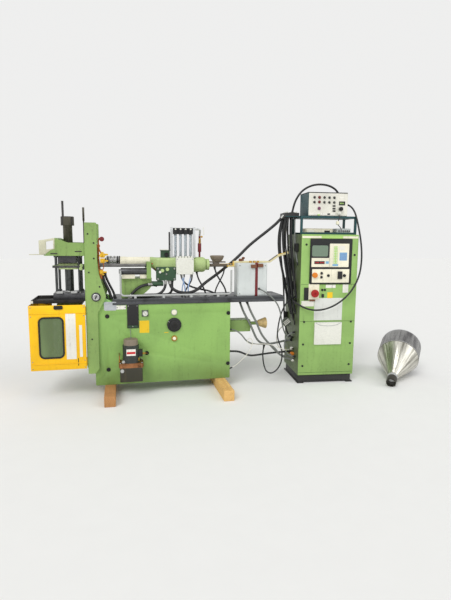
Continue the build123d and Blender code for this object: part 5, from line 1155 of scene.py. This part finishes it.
class MACHINE_OT_cabinet(bpy.types.Operator):
    """Adds the cabinet's screen, keys, switches, plates, fasteners and pocket"""

    bl_idname = "machine.cabinet"
    bl_label = "Cabinet"

    def execute(self, context):
        panel = -19  # y of the control panel's face
        # The body's left face takes the darker green: painted shade, with heavier dirt.
        refined("cabinet_body", "cabinet_green", [("cabinet_side", (-5, -5, 80), (2, 560, 1560))], CABINET,
            2.0)
        refined("control_panel", "cream_paint",
            [("panel_black", (80, -16, 1040), (540, 2, 1520)),
                ("blank_orange", (112, -45, 1113), (172, -19.5, 1173)),
                ("black_plastic", (200, -45, 1100), (300, -19.5, 1178)),
                ("black_plastic", (380, -45, 1100), (480, -19.5, 1190))], place=CABINET, bevel=0.8)
        refined("door_fittings", "cream_paint",
            [("white_plastic", (160, -30, 410), (470, 2, 660)),
                ("red_button", (100, -60, 912), (190, -18.5, 1002))], place=CABINET, bevel=0.8)
        group("screen", (slab(196, 136, 3, "black_plastic", 10), (190, -18, 1388)),
            (slab(168, 112, 2.4, "screen_glass", 16, 1.2), (190, -20.6, 1388)), place=CABINET)
        group("panel_plates",
            *plates([(201, -14, 1272, 192, 92, 5, "cream_paint", 3),
                (188, panel, 1271, 108, 30, 1.2, "panel_black", 2),
                (270, panel, 1272, 34, 26, 1.2, "key_blue", 2),
                (356, panel, 1348, 40, 176, 1, "key_green", 3),
                (438, panel, 1333, 80, 82, 1, "key_blue", 3),
                (423, panel, 1420, 60, 40, 1, "blank_label", 2),
                (356, panel, 1246, 60, 22, 1, "key_blue", 2),
                (295, -15.4, 1219, 400, 6, 2, "panel_black", 1)], CABINET))
        group("panel_keys",
            (slab(9, 15, 0.8, "blank_red", 1), *((x, -20.2, 1271) for x in (150, 164, 178, 200, 214, 228))),
            (slab(11, 9, 1.8, "white_plastic", 1.5), *((x, -20, z) for x in (345, 367)
                for z in range(1272, 1440, 17))),
            (slab(13, 10, 1.8, "key_dark", 1.5), *((x, -20, z) for x in (410, 428, 446, 466)
                for z in (1304, 1321, 1339, 1358))), place=CABINET)
        # Black strips for the switch's slits: painted shade inside the slits.
        group("switch_slits",
            (slab(44, 3, 1, "black_paint", 1), *((408, -20, z) for z in range(1118, 1172, 9))),
            place=CABINET)
        group("stop_button",
            (turned([(34, 0), (34, 2), (32, 3), (29, 3)], "blank_yellow", 32), (145, panel, 957)),
            (turned([(24, 0), (30, 5), (30, 12), (24, 19), (12, 21)], "red_button", 32), (145, -28, 957)),
            place=CABINET)
        group("door_plates",
            *plates([(64, 0, 949, 46, 130, 9, "black_plastic", 3),
                (145, -0.2, 973, 114, 164, 3, "cream_paint", 3),
                (324, 0, 1026, 106, 34, 0.8, "blank_label", 2),
                (484, 0, 1003, 62, 88, 0.8, "blank_label", 2), (84, 0, 848, 134, 58, 0.8, "blank_label", 2),
                (306, 0, 788, 302, 234, 0.7, "paper_white", 2),
                (240, 0, 930, 24, 34, 12, "black_plastic", 4),
                (319, 0, 934, 58, 62, 0.9, "blank_yellow", 3), (129, -3.4, 882, 60, 16, 8, "rust_brown", 3),
                (306, 0, 1526, 586, 24, 3, "key_green", 2), (106, -1, 1527, 200, 22, 2.6, "cream_paint", 2),
                (514, -1, 1527, 160, 22, 2.6, "cream_paint", 2)], CABINET))
        group("door_pilots",
            (turned([(12, 0), (12, 5), (9, 9), (4, 10)], "black_plastic", 20), (234, 0, 990),
                (262, 0, 990)), place=CABINET)
        group("cover_fasteners",
            (turned([(11, 0), (11, 3), (9, 4.5), (7, 4.5), (6, 2.5)], "black_plastic", 20), *((x, 0, z)
                for x, z in ((52, 1452), (566, 1349), (52, 657), (559, 654), (49, 419), (559, 423),
                (49, 188), (556, 195)))), place=CABINET)
        group("cover_seams",
            (slab(590, 2.4, 0.8, "black_rubber", 0.5, 0), (302, 0, 1046), (302, 0, 662), (302, 0, 116)),
            place=CABINET)
        group("pocket_lip", (slab(284, 6, 4, "paper_white", 2), (308, -16, 652)),
            # The grey tube runs along the pocket's sagging lip; its grey is the lip's painted shadow.
            tube("pocket_lip_shadow_line", "grey_rubber", 3, [(172, -17, 648), (200, -18, 630), (252, -18, 618),
                (308, -18, 615), (364, -18, 618), (416, -18, 630), (444, -17, 648)], CABINET),
            place=CABINET)
        group("hanging_socket",
            (turned([(46, 0), (48, 4), (48, 22), (44, 26), (38, 26), (38, 19), (4, 19)], "gauge_grey", 40),
                (-74, 232, 620)),
            (slab(72, 10, 9, "white_plastic", 3), (-74, 212, 620, "front", 38),
                *((-74 + dx, 212, 620 + dz, "front", 38) for dx, dz in ((-10, 13), (10, -13)))),
            place=CABINET)
        refined("cabinet_plinth", "black_paint", place=CABINET, bevel=2.0)
        group("side_fittings",
            (slab(84, 60, 34, "black_plastic", 5, 2), *((0, y, z, "left") for y, z in ((227, 1018),
                (366, 837), (472, 651), (369, 1257), (440, 1040), (120, 1420)))),
            (turned([(24, 0), (24, 12), (20, 15), (20, 34), (15, 38)], "white_plastic", 24),
                (0, 430, 1190, "left"), (0, 400, 1420, "left")),
            (slab(60, 96, 28, "grey_box_paint", 5, 2), (0, 430, 930, "left")),
            (turned([(17, 0), (17, 10), (21, 12), (21, 34), (14, 38)], "blank_orange", 20),
                (0, 169, 279, "left")),
            (turned([(15, 0), (15, 10), (18, 12), (18, 26), (12, 30)], "white_plastic", 20),
                (0, 144, 218, "left"), (0, 200, 330, "left")), place=CABINET)
        group("saddle_fittings", (slab(44, 230, 5, "black_paint", 4), (-60, 265, 1775, "up")),
            (turned([(14, 0), (14, 5), (11, 7), (11, 12)], "white_plastic", 20), *((x, y, 1775, "up")
                for x, y in ((-110, 190), (-100, 330), (-20, 170)))), place=CABINET)
        return {"FINISHED"}


class MACHINE_OT_controller(bpy.types.Operator):
    """Adds the temperature controller's case, face, knobs and plugs"""

    bl_idname = "machine.controller"
    bl_label = "Controller and small boxes"

    def execute(self, context):
        front = 74  # y of the controller's front
        group("controller_case", (slab(418, 234, 278, "teal_paint", 6, 2), (290, 358, 1858)),
            (slab(412, 226, 6, "controller_white", 4), (292, 80, 1858)),
            (slab(420, 282, 8, "black_paint", 6), (290, 220, 1973, "up")), place=CABINET,
            replaces=["controller"])
        columns = (144, 249, 302, 354)
        group("controller_knobs",
            (turned([(13, 0), (13, 3), (10, 4), (9, 13), (6, 14)], "black_plastic", 20),
                *((x, front, z) for x in columns for z in (1928, 1880))),
            (slab(2, 9, 1, "white_plastic", 0.5), *((x, 60, z + 3) for x in columns for z in (1928, 1880))),
            (turned([(15, 0), (15, 3), (12, 4), (11, 14), (7, 15)], "red_paint", 20), (196, front, 1928),
                (196, front, 1882)),
            (turned([(17, 0), (17, 3), (13, 4), (12, 15), (8, 16)], "purple_plastic", 20),
                (196, front, 1818)), place=CABINET)
        group("controller_plates",
            *plates([(438, front, 1872, 66, 40, 2, "panel_black", 3),
                (353, front, 1845, 30, 14, 6, "black_plastic", 2),
                (355, front, 1794, 30, 14, 6, "black_plastic", 2),
                (353, front, 1818, 30, 14, 6, "black_plastic", 2),
                (232, front, 1762, 270, 22, 2, "blank_label", 2),
                (192, 71, 1752, 22, 12, 6, "key_green", 2), (438, front, 1930, 60, 20, 1, "blank_label", 2),
                (300, front, 1762, 30, 14, 4, "black_plastic", 2)], CABINET))
        group("controller_digits",
            (slab(8, 14, 0.8, "key_green", 1), *((x, 71.8, 1872) for x in (420, 434, 448))), place=CABINET)
        group("controller_plugs",
            (turned([(17, 0), (17, 10), (21, 12), (21, 30), (13, 34), (9, 52)], "black_plastic", 20),
                (421, front, 1815)),
            (turned([(15, 0), (15, 10), (19, 12), (19, 34), (12, 38), (8, 50)], "white_plastic", 20),
                (405, front, 1768)),
            (turned([(14, 0), (14, 10), (18, 12), (18, 32), (10, 36)], "cream_paint", 20),
                (388, 46, 1692, "down")), place=CABINET)
        refined("rack_frame", "teal_paint", [("black_paint", (-140, 100, 1741.5), (20, 400, 1780))],
            place=CABINET, bevel=1.5)
        refined("top_boxes", "beige_paint", [("grey_box_paint", (400, 120, 1550), (580, 330, 1625))],
            place=CABINET, bevel=2.0)
        rows = [(x, 130, 1592, 12, 18, 3, "black_plastic", 2) for x in (440, 462, 484, 506, 528, 550)]
        group("small_box_fronts",
            *plates(rows + [(226, 130, 1586, 270, 44, 1.4, "cream_paint", 3),
                (140, 128.6, 1586, 60, 26, 1, "blank_label", 2),
                (310, 130, 1586, 60, 22, 2, "black_plastic", 2)], CABINET))
        group("small_box_feet",
            (turned([(12, 0), (10, 2), (10, 5)], "black_rubber", 16), (96, 130.1, 1562),
                (356, 130.1, 1562)), place=CABINET)
        return {"FINISHED"}


class MACHINE_OT_hopper(bpy.types.Operator):
    """Adds the hopper's rim, seams and collar"""

    bl_idname = "machine.hopper"
    bl_label = "Hopper"

    def execute(self, context):
        far = 400
        refined("hopper", "band_steel",
            [("post_steel", (-far, -far, 490), (far, far, 505)),
                ("post_steel", (-far, -far, 746), (far, far, 760)),
                ("weld_seam", (-far, 190, 505), (6, far, 746))], HOPPER, 0, smooth=40, cuts=(505, 746))
        refined("hopper_cone", "cone_steel", [("weld_seam", (-far, -far, 490), (far, far, 500))], HOPPER, 0,
            smooth=40, cuts=(491,))
        refined("hopper_spout", "collar_steel", [("post_steel", (-far, -far, 84), (far, far, 126))], HOPPER,
            0.8, cuts=(84,))
        return {"FINISHED"}


class MACHINE_OT_couplings(bpy.types.Operator):
    """Adds the couplings and glands of the hoses and cables"""

    bl_idname = "machine.couplings"
    bl_label = "Couplings and straps"

    def execute(self, context):
        made = []
        for colour, radius, _, runs in CORDS.values():
            for _, route in runs:
                for start, way in ends(route):
                    if colour in ("hose_black", "hose_blue"):
                        coupling = turned([(radius * 1.2, 0), (radius * 1.25, 2), (radius * 1.25, 16),
                                           (radius * 1.12, 18), (radius * 1.12, 40), (radius * 1.02, 42)],
                                          "screw_zinc", 12 if colour == "hose_black" else 8)
                    else:
                        coupling = turned([(radius + 6, 0), (radius + 6, 8), (radius + 4, 10),
                                           (radius + 3, 18), (radius + 0.8, 34)], "black_plastic", 16)
                    made += copies(coupling, [aimed(start + way.normalized() * 2, way)])
        # plug_lead ends inside the controller's plugs and has no glands of its own
        thin = [(CABINET, *row) for row in LOOM] + [
            (place, *row) for name, place, colour, *row in LEADS if name != "plug_lead"]
        for place, radius, _, route in thin:
            for start, way in ends(route):
                gland = turned([(radius + 5, 0), (radius + 5, 9), (radius + 3, 11), (radius + 2.4, 18),
                                (radius + 0.6, 30)], "black_plastic", 14)
                made += copies(gland, [place @ aimed(start + way.normalized() * 3, way)])
        mount(join("cord_couplings", made))
        return {"FINISHED"}


OPERATORS = [
    MACHINE_OT_stage, MACHINE_OT_cords, MACHINE_OT_nodes, MACHINE_OT_clamp, MACHINE_OT_guard,
    MACHINE_OT_base, MACHINE_OT_injection, MACHINE_OT_meters, MACHINE_OT_terminal_box, MACHINE_OT_cabinet,
    MACHINE_OT_controller, MACHINE_OT_hopper, MACHINE_OT_couplings,
]


class MACHINE_PT_pieces(bpy.types.Panel):
    """Lists the machine's groups of pieces"""

    bl_idname = "MACHINE_PT_pieces"
    bl_label = "Injection moulding machine"
    bl_space_type = "VIEW_3D"
    bl_region_type = "UI"
    bl_category = "Machine"

    def draw(self, context):
        for operator in OPERATORS:
            self.layout.operator(operator.bl_idname)


CLASSES = [MachineSizes, MachineColours, *OPERATORS, MACHINE_PT_pieces]


def register():
    for item in CLASSES:
        bpy.utils.register_class(item)
    bpy.types.Scene.machine_sizes = PointerProperty(type=MachineSizes)
    bpy.types.Scene.machine_colours = PointerProperty(type=MachineColours)


def unregister():
    del bpy.types.Scene.machine_colours
    del bpy.types.Scene.machine_sizes
    for item in reversed(CLASSES):
        bpy.utils.unregister_class(item)


def main():
    register()
    for operator in OPERATORS:
        area, name = operator.bl_idname.split(".")
        getattr(getattr(bpy.ops, area), name)()


if __name__ == "__main__":
    main()
